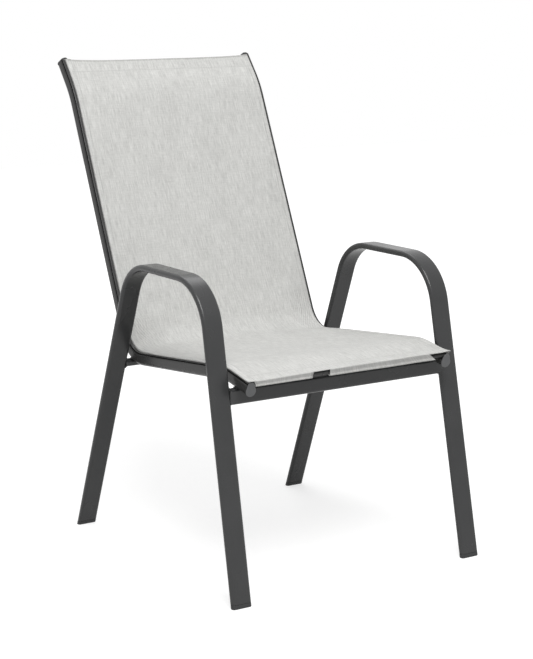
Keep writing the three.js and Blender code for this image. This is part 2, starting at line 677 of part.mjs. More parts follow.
// Each piece has its own material
const LOOKS = {
  steel: { color: 0x46484a, roughness: 0.5, metalness: 0.6 },
  plug: { color: 0x2f3132, roughness: 0.65, metalness: 0 },
  railPlug: { color: 0x55585a, roughness: 0.6, metalness: 0 },
  fabric: { color: 0xcdcecb, roughness: 0.9, metalness: 0 },
  rod: { color: 0xd8d8d4, roughness: 0.5, metalness: 0 },
};

const chair = new THREE.Group();

function addPiece(name, geometry, look) {
  const mesh = new THREE.Mesh(geometry, new THREE.MeshStandardMaterial(LOOKS[look]));
  mesh.name = name;
  chair.add(mesh);
}

for (const [sideName, side] of Object.entries(SIDES)) {
  addPiece(`side_frame_${sideName}`, sideFrame(side), 'steel');
  addPiece(`foot_plug_front_${sideName}`, footPlug(side, frontLeg), 'plug');
  addPiece(`foot_plug_rear_${sideName}`, footPlug(side, rearLeg), 'plug');
  addPiece(`sling_rail_${sideName}`, sweep(railSection(side), railStations, side * RAIL_X), 'steel');
  addPiece(`rail_front_plug_${sideName}`, railPlug(side, railStations[0], 1), 'railPlug');
  addPiece(`rail_top_plug_${sideName}`, railPlug(side, railStations.at(-1), -1), 'railPlug');
  addPiece(`keder_rod_${sideName}`, hemRod(side), 'rod');
}

const frontBar = frontBarCentre();
const frontBarShape = tubeShape(FRONT_BAR_DEPTH, FRONT_BAR_HEIGHT, FRONT_BAR_CORNER, BAR_WALL);
const rearBarShape = shapeOf(arc(0, 0, REAR_BAR_RADIUS, 0, 360, REAR_BAR_SIDES).slice(1), [
  arc(0, 0, REAR_BAR_RADIUS - BAR_WALL, 0, 360, REAR_BAR_SIDES).slice(1),
]);
addPiece('front_crossbar', crossbar(frontBarShape, frontBar), 'steel');
addPiece('rear_crossbar', crossbar(rearBarShape, rearBarCentre()), 'steel');
addPiece('front_spreader_bar', frontSpreader(), 'steel');
addPiece('spreader_support_bracket', supportBracket(frontBar), 'steel');
addPiece('top_spreader_bar', topSpreader(), 'steel');
addPiece('sling', sling(), 'fabric');

// The origin is on the floor under the middle of the chair's box
const box = new THREE.Box3().setFromObject(chair);
chair.position.y = -(box.min.y + box.max.y) / 2;

export default chair;
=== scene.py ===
import math
from collections import namedtuple

import bmesh
import bpy
from mathutils import Matrix, Vector, noise


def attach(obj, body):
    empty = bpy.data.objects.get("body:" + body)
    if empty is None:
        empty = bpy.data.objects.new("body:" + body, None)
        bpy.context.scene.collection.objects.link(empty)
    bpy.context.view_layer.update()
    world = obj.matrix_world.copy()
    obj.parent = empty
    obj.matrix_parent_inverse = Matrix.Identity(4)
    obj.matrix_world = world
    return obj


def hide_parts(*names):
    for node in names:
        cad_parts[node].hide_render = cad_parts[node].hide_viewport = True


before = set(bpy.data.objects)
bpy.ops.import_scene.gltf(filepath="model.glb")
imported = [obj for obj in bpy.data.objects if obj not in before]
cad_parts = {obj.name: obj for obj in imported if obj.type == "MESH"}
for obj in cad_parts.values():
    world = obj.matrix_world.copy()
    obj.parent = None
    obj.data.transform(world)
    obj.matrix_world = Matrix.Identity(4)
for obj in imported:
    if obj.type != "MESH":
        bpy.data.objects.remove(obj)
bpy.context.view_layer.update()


# Camera: where the photograph was taken from, a little above the arms and to the sitter's right.
# Its lens and shift come from the same fit to the outlines as the chair's proportions.
VIEW_AZIMUTH = math.radians(-31.711)
VIEW_ELEVATION = math.radians(10.386)
VIEW_ROLL = math.radians(-0.871)
VIEW_DISTANCE = 3.3493
VIEW_TARGET = Vector((0, -0.04466, 0.4327))
VIEW_LENS = 93.294
VIEW_SHIFT = (0.00631, -0.00739)

level_right = Vector((math.cos(VIEW_AZIMUTH), math.sin(VIEW_AZIMUTH), 0))
away = Vector((
    math.sin(VIEW_AZIMUTH) * math.cos(VIEW_ELEVATION),
    -math.cos(VIEW_AZIMUTH) * math.cos(VIEW_ELEVATION),
    math.sin(VIEW_ELEVATION),
))
level_up = away.cross(level_right)
view_right = level_right * math.cos(VIEW_ROLL) + level_up * math.sin(VIEW_ROLL)
view_up = level_up * math.cos(VIEW_ROLL) - level_right * math.sin(VIEW_ROLL)

camera_data = bpy.data.cameras.new("camera")
camera_data.lens = VIEW_LENS
camera_data.shift_x, camera_data.shift_y = VIEW_SHIFT
camera = bpy.data.objects.new("camera", camera_data)
camera.matrix_world = Matrix.Translation(VIEW_TARGET + away * VIEW_DISTANCE) @ Matrix(
    (view_right, view_up, away)
).transposed().to_4x4()
bpy.context.collection.objects.link(camera)
bpy.context.scene.camera = camera
bpy.context.scene.view_settings.view_transform = "Standard"


# Studio: a white room that lights the chair evenly, one large soft lamp above and before it on the
# sitter's right, and a weaker one over its rear. The floor is pale paper that keeps the chair's
# shadow. Its glow, for the camera and reflections only, runs it into the white background.
ROOM_LIGHT = 0.42
KEY_LAMP = {"place": (-0.8, -2.1, 3.6), "width": 2.2, "power": 142}
REAR_LAMP = {"place": (0.6, 1.4, 3.0), "width": 1.8, "power": 20}
LAMP_TARGET = Vector((0, 0, 0.45))
FLOOR_HALF = 8
FLOOR_COLOUR = (0.5, 0.5, 0.5, 1)
FLOOR_ROUGHNESS = 0.9
FLOOR_GLOSS = 0.1
# Where the glow starts to grow and where it stops, and how strong it is at both
FLOOR_GLOW_REACH = (0.6, 3.0)
FLOOR_GLOW = (0.66, 0.9)
WHITE = (1, 1, 1, 1)


def fill_inputs(tree, node, inputs):
    """Gives each input named its value, or links it to the socket that gives it."""
    for key, value in inputs.items():
        if isinstance(value, bpy.types.NodeSocket):
            tree.links.new(value, node.inputs[key])
        else:
            node.inputs[key].default_value = value


def add_node(tree, kind, inputs=None, **settings):
    """Adds a node with its settings and its inputs."""
    made = tree.nodes.new(kind)
    for key, value in settings.items():
        setattr(made, key, value)
    fill_inputs(tree, made, inputs or {})
    return made


def add_math(tree, operation, result, *others):
    """Takes a value through one operation, with each of the others in turn."""
    for other in others or (0.0,):
        inputs = {0: result, 1: other}
        result = add_node(tree, "ShaderNodeMath", inputs, operation=operation).outputs[0]
    return result


def range_of(tree, *values):
    """Takes a value, the range that it has and the one that it gets, and stops at its ends."""
    inputs = dict(zip(("Value", "From Min", "From Max", "To Min", "To Max"), values))
    return add_node(tree, "ShaderNodeMapRange", inputs).outputs[0]


def seen_by_camera(tree):
    """One for the camera and for what mirrors or glass show it, nought for light on the chair."""
    path = add_node(tree, "ShaderNodeLightPath").outputs
    rays = [path[f"Is {kind} Ray"] for kind in ("Camera", "Glossy", "Transmission")]
    return add_math(tree, "MAXIMUM", *rays)


def new_material(name):
    """Starts a material, and gives it with its nodes and its shader."""
    material = bpy.data.materials.new(name)
    material.use_nodes = True
    tree = material.node_tree
    return material, tree, tree.nodes["Principled BSDF"]


def add_lamp(name, place, width, power):
    lamp = bpy.data.lights.new(name, "AREA")
    lamp.size = width
    lamp.energy = power
    holder = bpy.data.objects.new(name, lamp)
    holder.location = place
    holder.rotation_euler = (LAMP_TARGET - Vector(place)).to_track_quat("-Z", "Y").to_euler()
    bpy.context.collection.objects.link(holder)


add_lamp("key_lamp", **KEY_LAMP)
add_lamp("rear_lamp", **REAR_LAMP)

room = bpy.data.worlds.new("room")
room.use_nodes = True
room_tree = room.node_tree
fill_inputs(room_tree, room_tree.nodes["Background"], {
    "Color": WHITE,
    "Strength": range_of(room_tree, seen_by_camera(room_tree), 0, 1, ROOM_LIGHT, 1),
})
bpy.context.scene.world = room

floor_mesh = bpy.data.meshes.new("floor")
floor_bm = bmesh.new()
bmesh.ops.create_grid(floor_bm, x_segments=1, y_segments=1, size=FLOOR_HALF)
floor_bm.to_mesh(floor_mesh)
floor_bm.free()
floor_paper, floor_tree, floor_shader = new_material("floor_paper")
floor_place = add_node(floor_tree, "ShaderNodeTexCoord").outputs["Object"]
floor_reach = add_node(
    floor_tree, "ShaderNodeVectorMath", {0: floor_place}, operation="LENGTH"
).outputs["Value"]
floor_glow = range_of(floor_tree, floor_reach, *FLOOR_GLOW_REACH, *FLOOR_GLOW)
fill_inputs(floor_tree, floor_shader, {
    "Base Color": FLOOR_COLOUR,
    "Roughness": FLOOR_ROUGHNESS,
    "Specular IOR Level": FLOOR_GLOSS,
    "Emission Color": WHITE,
    "Emission Strength": add_math(floor_tree, "MULTIPLY", floor_glow, seen_by_camera(floor_tree)),
})
floor_mesh.materials.append(floor_paper)
floor = bpy.data.objects.new("floor", floor_mesh)
bpy.context.collection.objects.link(floor)


# Side frames: each is one flat-oval steel tube, bent twice into a front leg, an arm and a rear leg,
# and powder coated. They lean out a little towards the floor. From here on all lengths are in
# millimetres, and angles named as a step are in degrees.
FRAME_WIDTH = 40
FRAME_THICKNESS = 12
FRAME_CORNER = 5.4
FRAME_WALL = 1.5
FRAME_CORNERS = [(-373.06, 0), (-268.36, 567.4), (4.04, 570.8), (247.64, 0)]
FRAME_BENDS = [100, 96]
FRAME_HALF_TRACK = 255.708
FRAME_LEAN = 0.01
FRAME_BOTTOM = 8.3
TUBE_BEND_STEP = 2.5
SIDES = {"left": 1, "right": -1}
METRES = 0.001
MERGE_DISTANCE = 0.001
SHARP_ANGLE = math.radians(38)
# Most of a noise lies between these
NOISE_SPAN = (0.3, 0.7)
STEEL_DARK = (0.0345, 0.0352, 0.036, 1)
STEEL_PALE = (0.0475, 0.048, 0.0487, 1)
STEEL_GLOSS = 0.32

Run = namedtuple("Run", "start point direction radius")


class Route:
    """A line in the YZ plane, of straight runs joined by arcs, that straight pieces are bent onto.
    A straight piece has its length along Y and its height, towards the route's normal, along Z."""

    def __init__(self, corners, bends):
        corners = [Vector(corner) for corner in corners]
        along, point = 0.0, corners[0]
        self.runs = []
        for before, corner, after, radius in zip(corners, corners[1:], corners[2:], bends):
            into, out = (corner - before).normalized(), (after - corner).normalized()
            turn = math.atan2(into.cross(out), into.dot(out))
            reach = radius * math.tan(abs(turn) / 2)
            self.runs.append(Run(along, point, into, 0.0))
            along += (corner - into * reach - point).length
            bent = math.copysign(radius, turn)
            self.runs.append(Run(along, corner - into * reach, into, bent))
            along += radius * abs(turn)
            point = corner + out * reach
        self.runs.append(Run(along, point, (corners[-1] - corners[-2]).normalized(), 0.0))
        self.length = along + (corners[-1] - point).length

    def place(self, along, height=0.0):
        """Where a point of a straight piece comes to lie, as its Y and Z."""
        start, point, direction, radius = next(
            (run for run in reversed(self.runs) if run.start <= along), self.runs[0]
        )
        normal = Vector((-direction.y, direction.x))
        if not radius:
            return point + direction * (along - start) + normal * height
        centre = point + normal * radius
        return centre + Matrix.Rotation((along - start) / radius, 2) @ (normal * (height - radius))

    def marks(self, start, end, degrees, longest=math.inf):
        """Lengths between which a piece is drawn: the runs' ends, and steps along the bends."""
        marks = [start]
        stops = [run.start for run in self.runs] + [self.length]
        for run, stop in zip(self.runs, stops[1:]):
            low, high = max(run.start, start), min(stop, end)
            if high <= low:
                continue
            step = min(longest, math.radians(degrees) * abs(run.radius) or longest)
            count = max(1, math.ceil((high - low) / step))
            marks += [low + (high - low) * part / count for part in range(1, count + 1)]
        return marks

    def bend(self, bm):
        """Bends a straight piece onto the route."""
        for vert in bm.verts:
            vert.co.yz = self.place(vert.co.y, vert.co.z)


def move(bm, x=0.0, y=0.0, z=0.0):
    """Moves the whole of a shape."""
    bmesh.ops.translate(bm, verts=bm.verts, vec=(x, y, z))


def turn_quarter(bm, axis, way=1):
    """Turns the whole of a shape by a right angle."""
    bmesh.ops.rotate(bm, matrix=Matrix.Rotation(way * math.pi / 2, 3, axis), verts=bm.verts)


def pick(kind, geom):
    """Picks the vertices or the edges out of what an operator made."""
    return [part for part in geom if isinstance(part, kind)]


def round_off(bm, geom, affect, radius, segments):
    """Rounds off corners or edges."""
    bmesh.ops.bevel(
        bm, geom=geom, affect=affect, offset=radius, segments=segments, profile=0.5, material=-1
    )


def rounded_plate(width, height, corner, segments=6):
    """A flat plate in the XZ plane, with its corners rounded."""
    bm = bmesh.new()
    bmesh.ops.create_grid(bm, x_segments=1, y_segments=1, size=0.5)
    bmesh.ops.scale(bm, vec=(width, height, 1), verts=bm.verts)
    round_off(bm, bm.verts[:], "VERTICES", corner, segments)
    turn_quarter(bm, "X")
    return bm


def leave_outline(bm):
    """Takes the faces out of a plate, and leaves its edges."""
    bmesh.ops.delete(bm, geom=bm.faces[:], context="FACES_ONLY")


def extrude_edges(bm, edges, move):
    """Extrudes a line of edges by a move, and gives the new edges and vertices."""
    made = bmesh.ops.extrude_edge_only(bm, edges=edges)["geom"]
    verts = pick(bmesh.types.BMVert, made)
    fresh = set(verts)
    edges = [edge for edge in pick(bmesh.types.BMEdge, made) if fresh.issuperset(edge.verts)]
    bmesh.ops.translate(bm, verts=verts, vec=move)
    return edges, verts


def close_end(bm, edges):
    """Closes an open end, between the tube's outside and its bore where it is hollow."""
    bmesh.ops.triangle_fill(bm, edges=edges, use_beauty=True, use_dissolve=False)


def draw_out(bm, marks):
    """Draws closed outlines out along Y through the given lengths, and gives both open ends."""
    leave_outline(bm)
    move(bm, y=marks[0])
    first = edges = bm.edges[:]
    for before, mark in zip(marks, marks[1:]):
        edges, _ = extrude_edges(bm, edges, (0, mark - before, 0))
    return first, edges


def draw_tube(bm, marks):
    """Draws a hollow tube along Y."""
    for end in draw_out(bm, marks):
        close_end(bm, end)


def draw_rod(bm, marks):
    """Draws a solid rod along Y."""
    draw_out(bm, marks)
    bmesh.ops.holes_fill(bm, edges=bm.edges, sides=0)


def take_in(bm, other):
    """Adds another shape to a shape, and frees the other."""
    mesh = bpy.data.meshes.new("taken_in")
    other.to_mesh(mesh)
    other.free()
    bm.from_mesh(mesh)
    bpy.data.meshes.remove(mesh)


def add_bore(bm, inner):
    """Adds a second outline, and with it the inside of a tube."""
    leave_outline(inner)
    leave_outline(bm)
    take_in(bm, inner)


def flat_oval(width, height, corner, wall, segments=6):
    """The outlines of a flat-oval tube, outside and inside."""
    tube = rounded_plate(width, height, corner, segments)
    inner = rounded_plate(width - 2 * wall, height - 2 * wall, corner - wall, segments)
    add_bore(tube, inner)
    return tube


def lean_out(bm, side):
    """Shears a piece outward towards the floor, and moves it to its side of the chair."""
    across = (1, 0, -side * FRAME_LEAN, side * FRAME_HALF_TRACK)
    lean = Matrix((across, (0, 1, 0, 0), (0, 0, 1, 0), (0, 0, 0, 1)))
    bmesh.ops.transform(bm, matrix=lean, verts=bm.verts)


def make_piece(bm, name, material, slot, *nodes):
    """Turns a closed mesh in millimetres into a piece that stands for the CAD nodes named."""
    bmesh.ops.remove_doubles(bm, verts=bm.verts, dist=MERGE_DISTANCE)
    bmesh.ops.recalc_face_normals(bm, faces=bm.faces)
    for edge in bm.edges:
        edge.smooth = len(edge.link_faces) != 2 or edge.calc_face_angle() < SHARP_ANGLE
    bmesh.ops.scale(bm, vec=(METRES, METRES, METRES), verts=bm.verts)
    mesh = bpy.data.meshes.new(name)
    bm.to_mesh(mesh)
    bm.free()
    mesh.shade_smooth()
    mesh.materials.append(material)
    piece = bpy.data.objects.new(name, mesh)
    bpy.context.collection.objects.link(piece)
    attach(piece, "root")
    if nodes:
        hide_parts(*nodes)
    return piece


def make_crisp(*piece):
    """Makes a piece whose flats look flat beside its rounded edges."""
    make_piece(*piece).modifiers.new("even_shading", "WEIGHTED_NORMAL").keep_sharp = True


def noise_of(tree, place, scale, detail):
    """A noise from nought to one. The scale is in patches a metre."""
    inputs = {"Vector": place, "Scale": scale, "Detail": detail, "Roughness": 0.5}
    return add_node(tree, "ShaderNodeTexNoise", inputs).outputs["Fac"]


def mix_of(tree, factor, dark, pale):
    """A colour between two."""
    inputs = {0: factor, 6: dark, 7: pale}
    return add_node(tree, "ShaderNodeMix", inputs, data_type="RGBA").outputs[2]


def bump_of(tree, height, strength, distance, **below):
    """Raises a pattern by a distance in metres, over the bump given as its Normal if any."""
    inputs = {"Strength": strength, "Distance": distance, "Height": height, **below}
    return add_node(tree, "ShaderNodeBump", inputs).outputs[0]


def powder_coat(name, dark, pale, gloss):
    """A satin powder coat: fine grain, faint orange peel and slow changes of tone and gloss."""
    material, tree, shader = new_material(name)
    place = add_node(tree, "ShaderNodeTexCoord").outputs["Object"]
    cloud = noise_of(tree, place, scale=14, detail=3)
    peel = noise_of(tree, place, scale=420, detail=1)
    grain = noise_of(tree, place, scale=2400, detail=1)
    tone = range_of(tree, cloud, *NOISE_SPAN, 0.15, 0.65)
    speck = range_of(tree, grain, 0.35, 0.7, -0.12, 0.3)
    orange_peel = bump_of(tree, peel, strength=0.35, distance=0.00006)
    fill_inputs(tree, shader, {
        "Base Color": mix_of(tree, add_math(tree, "ADD", tone, speck), dark, pale),
        "Roughness": range_of(tree, cloud, *NOISE_SPAN, 0.22, 0.3),
        "Specular IOR Level": gloss,
        "Normal": bump_of(tree, grain, strength=0.3, distance=0.00003, Normal=orange_peel),
    })
    return material


frame_coat = powder_coat("frame_powder_coat", STEEL_DARK, STEEL_PALE, STEEL_GLOSS)
frame_route = Route(FRAME_CORNERS, FRAME_BENDS)

for side_name, side in SIDES.items():
    tube = flat_oval(FRAME_WIDTH, FRAME_THICKNESS, FRAME_CORNER, FRAME_WALL)
    draw_out(tube, frame_route.marks(0, frame_route.length, TUBE_BEND_STEP))
    frame_route.bend(tube)
    bmesh.ops.bisect_plane(
        tube,
        geom=tube.verts[:] + tube.edges[:] + tube.faces[:],
        plane_co=(0, 0, FRAME_BOTTOM),
        plane_no=(0, 0, 1),
        clear_inner=True,
    )
    for leg in (-1, 1):
        rim = [edge for edge in tube.edges if edge.is_boundary and edge.verts[0].co.y * leg > 0]
        close_end(tube, rim)
    lean_out(tube, side)
    node = f"side_frame_{side_name}"
    make_crisp(tube, f"frame_tube_{side_name}", frame_coat, "frame_steel", node)


# Foot plugs: moulded plastic glides pressed into the legs' open ends, with a chamfered cap under
# the tube's rim and a hollow spigot inside it. Each follows the slope of its leg.
FOOT_CAP_HEIGHT = 8
FOOT_CAP_BEVEL = 1.3
FOOT_SPIGOT_HEIGHT = 20
FOOT_SPIGOT_INSET = 1.8
FOOT_SPIGOT_WALL = 1.8
# Where each leg meets the floor, and how far back it goes for each millimetre up
LEGS = {"front": (FRAME_CORNERS[0][0], 0.18453), "rear": (FRAME_CORNERS[-1][0], -0.42677)}
FOOT_DARK = (0.016, 0.0165, 0.017, 1)
FOOT_PALE = (0.03, 0.031, 0.032, 1)
FOOT_ROUGHNESS = 0.62


def moulded_plastic(name, dark, pale, roughness):
    """A fine spark-eroded mould texture with faint flow marks."""
    material, tree, shader = new_material(name)
    place = add_node(tree, "ShaderNodeTexCoord").outputs["Object"]
    cloud = noise_of(tree, place, scale=60, detail=3)
    grain = noise_of(tree, place, scale=1800, detail=2)
    fill_inputs(tree, shader, {
        "Base Color": mix_of(tree, cloud, dark, pale),
        "Roughness": range_of(tree, grain, *NOISE_SPAN, roughness - 0.06, roughness + 0.06),
        "Normal": bump_of(tree, grain, strength=0.5, distance=0.00008),
    })
    return material


foot_plastic = moulded_plastic("foot_plastic", FOOT_DARK, FOOT_PALE, FOOT_ROUGHNESS)

for leg_name, (foot_y, lean) in LEGS.items():
    for side_name, side in SIDES.items():
        plug = rounded_plate(FRAME_WIDTH, FRAME_THICKNESS * math.hypot(lean, 1), FRAME_CORNER)
        turn_quarter(plug, "X", -1)
        cap = bmesh.ops.extrude_face_region(plug, geom=plug.faces[:])["geom"]
        cap_verts = pick(bmesh.types.BMVert, cap)
        bmesh.ops.translate(plug, verts=cap_verts, vec=(0, 0, FOOT_CAP_HEIGHT))
        rims = [
            edge
            for edge in plug.edges
            if abs(edge.verts[0].co.z - edge.verts[1].co.z) < FOOT_CAP_HEIGHT / 2
        ]
        round_off(plug, rims, "EDGES", FOOT_CAP_BEVEL, 2)
        top = max(plug.faces, key=lambda face: face.calc_center_median().z)
        bmesh.ops.inset_region(plug, faces=[top], thickness=FOOT_SPIGOT_INSET - FOOT_CAP_BEVEL)
        bmesh.ops.translate(plug, verts=top.verts, vec=(0, 0, FOOT_SPIGOT_HEIGHT))
        bmesh.ops.inset_region(plug, faces=[top], thickness=FOOT_SPIGOT_WALL)
        bmesh.ops.translate(plug, verts=top.verts, vec=(0, 0, -FOOT_SPIGOT_HEIGHT))
        shear = Matrix(((1, 0, 0, 0), (0, 1, lean, foot_y), (0, 0, 1, 0), (0, 0, 0, 1)))
        bmesh.ops.transform(plug, matrix=shear, verts=plug.verts)
        lean_out(plug, side)
        node = f"foot_plug_{leg_name}_{side_name}"
        glide = f"glide_{leg_name}_{side_name}"
        make_crisp(plug, glide, foot_plastic, "foot_plastic", node)


# Sling rails: bent steel tubes with a small slotted channel on the sitter's side that holds the
# sling's hem. Outside the slot is a broad lip, with a groove between it and the tube. Lengths are
# along the sling's line, and depths are below it.
SLING_CORNERS = [
    (-354.26, 399.4), (-274.46, 415.9), (91.74, 384.6), (305.74, 886.4), (356.34, 950.8)
]
SLING_BENDS = [163, 61.4, 203]
RAIL_X = 215
CHANNEL_RADIUS = 4.5
CHANNEL_BORE = 3.3
CHANNEL_DEPTH = 4.8
TUBE_RADIUS = 9.4
TUBE_DEPTH = 17.307
BORE_RADIUS = 6
BORE_DEPTH = 19.9
HALF_NECK = 2.79
GROOVE_ANGLE = math.radians(4)
# From the groove to the slot, each place as how far outward and how deep it is
GROOVE_AND_LIP = [
    (9.3, 9.0), (9.1, 6.6), (8.7, 5.6), (8.1, 5.1), (7.4, 5.2), (4.2, 8.4), (3.5, 8.2),
    (3.4, 7.2), (6.2, 3.6), (6.8, 3.1), (7.0, 2.4), (6.7, 1.6), (5.6, 1.2), (2.0, 1.0),
]
SLOT_ANGLE = math.radians(80)
HALF_SLOT = 0.8
RAIL_START = 1.5
RAIL_TOP_SETBACK = 1.8
RAIL_DARK = (0.039, 0.0388, 0.0383, 1)
RAIL_PALE = (0.0585, 0.058, 0.0573, 1)
RAIL_GLOSS = 0.17


def polar(centre, angle, radius):
    """A place in the XZ plane, at an angle and a distance from a centre."""
    return centre + Vector((math.cos(angle), 0, math.sin(angle))) * radius


def turn_on(bm, vert, centre, angle, steps):
    """Carries an outline on from a vertex, round a centre, anticlockwise seen from the front."""
    made = bmesh.ops.spin(bm, geom=[vert], cent=centre, axis=(0, -1, 0), angle=angle, steps=steps)
    return pick(bmesh.types.BMVert, made["geom_last"])[0]


def line_to(bm, last, place):
    """Carries an outline on from a vertex to a place."""
    vert = bm.verts.new(place)
    bm.edges.new((last, vert))
    return vert


def ring_outline(radius, segments):
    """A round outline in the XZ plane."""
    bm = bmesh.new()
    bmesh.ops.create_circle(bm, cap_ends=False, segments=segments, radius=radius)
    turn_quarter(bm, "X")
    return bm


rail_coat = powder_coat("rail_powder_coat", RAIL_DARK, RAIL_PALE, RAIL_GLOSS)
sling_route = Route(SLING_CORNERS, SLING_BENDS)
SLING_LENGTH = sling_route.length
RAIL_END = SLING_LENGTH - RAIL_TOP_SETBACK
channel = Vector((0, 0, -CHANNEL_DEPTH))
tube_middle = Vector((0, 0, -TUBE_DEPTH))
outer_half = math.asin(HALF_SLOT / CHANNEL_RADIUS)
inner_half = math.asin(HALF_SLOT / CHANNEL_BORE)
channel_neck = math.asin(HALF_NECK / CHANNEL_RADIUS)
tube_neck = math.asin(HALF_NECK / TUBE_RADIUS)
underneath = 1.5 * math.pi

for side_name, side in SIDES.items():
    rail = bmesh.new()
    slot_side = SLOT_ANGLE + outer_half
    first = rail.verts.new(polar(channel, slot_side, CHANNEL_RADIUS))
    last = turn_on(rail, first, channel, underneath - channel_neck - slot_side, steps=12)
    last = turn_on(rail, last, tube_middle, underneath - tube_neck + GROOVE_ANGLE, steps=40)
    for outward, depth in GROOVE_AND_LIP:
        last = line_to(rail, last, (outward, 0, -depth))
    last = line_to(rail, last, polar(channel, SLOT_ANGLE - inner_half, CHANNEL_BORE))
    last = turn_on(rail, last, channel, 2 * (inner_half - math.pi), steps=20)
    rail.edges.new((last, first))
    hollow = ring_outline(BORE_RADIUS, 28)
    move(hollow, z=-BORE_DEPTH)
    add_bore(rail, hollow)
    if side < 0:
        bmesh.ops.scale(rail, vec=(-1, 1, 1), verts=rail.verts)
    move(rail, x=side * RAIL_X)
    draw_tube(rail, sling_route.marks(RAIL_START, RAIL_END, TUBE_BEND_STEP))
    sling_route.bend(rail)
    make_crisp(rail, f"rail_{side_name}", rail_coat, "rail_steel", f"sling_rail_{side_name}")


# Rail plugs: moulded plastic stoppers in both ends of each rail, with a teardrop flange that covers
# the rail's cut end and a spigot in its tube. They are a lighter grey than the tubes, and rounder
# at the top ends.
FLANGE_THICKNESS = 2.2
FLANGE_RIM = 0.8
FLANGE_TOP_RADIUS = 7.2
FLANGE_TOP_DEPTH = 7.5
FLANGE_BEVEL = {"front": 0.6, "top": 1.4}
RAIL_SPIGOT_RADIUS = 5.7
RAIL_SPIGOT_LENGTH = 16
PLUG_GAP = 0.3
PLUG_DARK = (0.075, 0.077, 0.079, 1)
PLUG_PALE = (0.12, 0.122, 0.124, 1)
PLUG_ROUGHNESS = 0.55

plug_plastic = moulded_plastic("plug_plastic", PLUG_DARK, PLUG_PALE, PLUG_ROUGHNESS)
flange_radius = TUBE_RADIUS + FLANGE_RIM
flange_top = Vector((0, 0, -FLANGE_TOP_DEPTH))
flange_lean = math.acos((flange_radius - FLANGE_TOP_RADIUS) / (TUBE_DEPTH - FLANGE_TOP_DEPTH))

for end_name, start, into in (
    ("front", RAIL_START - PLUG_GAP - FLANGE_THICKNESS, 1),
    ("top", RAIL_END + PLUG_GAP, -1),
):
    middle = start + FLANGE_THICKNESS / 2
    for side_name, side in SIDES.items():
        plug = bmesh.new()
        first = plug.verts.new(polar(flange_top, math.pi / 2 - flange_lean, FLANGE_TOP_RADIUS))
        last = turn_on(plug, first, flange_top, 2 * flange_lean, steps=12)
        last = line_to(plug, last, polar(tube_middle, math.pi / 2 + flange_lean, flange_radius))
        last = turn_on(plug, last, tube_middle, 2 * (math.pi - flange_lean), steps=32)
        plug.edges.new((last, first))
        draw_rod(plug, [start, start + FLANGE_THICKNESS])
        rims = [
            edge
            for edge in plug.edges
            if abs(edge.verts[0].co.y - edge.verts[1].co.y) < FLANGE_THICKNESS / 2
            and (end_name == "front" or edge.verts[0].co.y > middle)
        ]
        round_off(plug, rims, "EDGES", FLANGE_BEVEL[end_name], 3)
        spigot = ring_outline(RAIL_SPIGOT_RADIUS, 32)
        spigot_end = middle + into * (RAIL_SPIGOT_LENGTH + FLANGE_THICKNESS / 2)
        draw_rod(spigot, sorted([middle, spigot_end]))
        move(spigot, z=-BORE_DEPTH)
        take_in(plug, spigot)
        move(plug, x=side * RAIL_X)
        sling_route.bend(plug)
        node = f"rail_{end_name}_plug_{side_name}"
        stopper = f"stopper_{end_name}_{side_name}"
        make_crisp(plug, stopper, plug_plastic, "plug_plastic", node)


# Crossbars: a flat-oval steel tube under the seat's front edge and a round one at its rear corner,
# coped to the side frames' round edges and welded to them all round.
FRONT_BAR = {"y": -305.43, "z": 366.48, "depth": 15, "height": 30, "corner": 6}
REAR_BAR = {"y": 93.13, "z": 362.04, "radius": 8}
BAR_WALL = 1.5
COPE_DEPTH = 3


def across_chair(bm, y, z, tilt=0.0):
    """Turns a piece that was drawn along Y so that it lies across the chair, at a place."""
    turn_quarter(bm, "Z", -1)
    bmesh.ops.rotate(bm, matrix=Matrix.Rotation(tilt, 3, "X"), verts=bm.verts)
    move(bm, y=y, z=z)


def inner_edge(z):
    """Where the side frames' inner edges are at a height."""
    return FRAME_HALF_TRACK - FRAME_LEAN * z - FRAME_WIDTH / 2


front_half = inner_edge(FRONT_BAR["z"]) + COPE_DEPTH
front_bar = flat_oval(
    FRONT_BAR["depth"], FRONT_BAR["height"], FRONT_BAR["corner"], BAR_WALL, segments=8
)
draw_tube(front_bar, [-front_half, front_half])
across_chair(front_bar, FRONT_BAR["y"], FRONT_BAR["z"])
make_crisp(front_bar, "front_bar", frame_coat, "frame_steel", "front_crossbar")

rear_half = inner_edge(REAR_BAR["z"]) + COPE_DEPTH
rear_bar = ring_outline(REAR_BAR["radius"], 40)
add_bore(rear_bar, ring_outline(REAR_BAR["radius"] - BAR_WALL, 40))
draw_tube(rear_bar, [-rear_half, rear_half])
across_chair(rear_bar, REAR_BAR["y"], REAR_BAR["z"])
make_crisp(rear_bar, "rear_bar", frame_coat, "frame_steel", "rear_crossbar")


# Welds: rippled fillets round the crossbars' ends, which join them to the side frames, and short
# runs of weld beside each rail where it lies on a crossbar. All are under the coat.
BEAD_LENGTH = 4.5
BEAD_HEIGHT = 2.6
BEAD_DEPTH = {"front": 0.8, "rear": 1.2}
BEAD_SINK = 1.5
BEAD_RIPPLE = 0.16
BEAD_RIPPLES = 26
# How high the fillet still is at each share of its length
BEAD_CURVE = [(0.0, 1.0), (0.12, 0.72), (0.3, 0.42), (0.55, 0.18), (0.8, 0.05), (1.0, 0.0)]
# The front bead's flats are longer than this, and are cut for the ripples
BEAD_FLAT = 2
BEAD_FLAT_CUTS = 9
LUMP_HALF_SIZE = (1.9, 2.86, 1.7)
LUMP_PITCH = 3.224
LUMP_OFFSET = 4.6
LUMP_RISE = 0.3


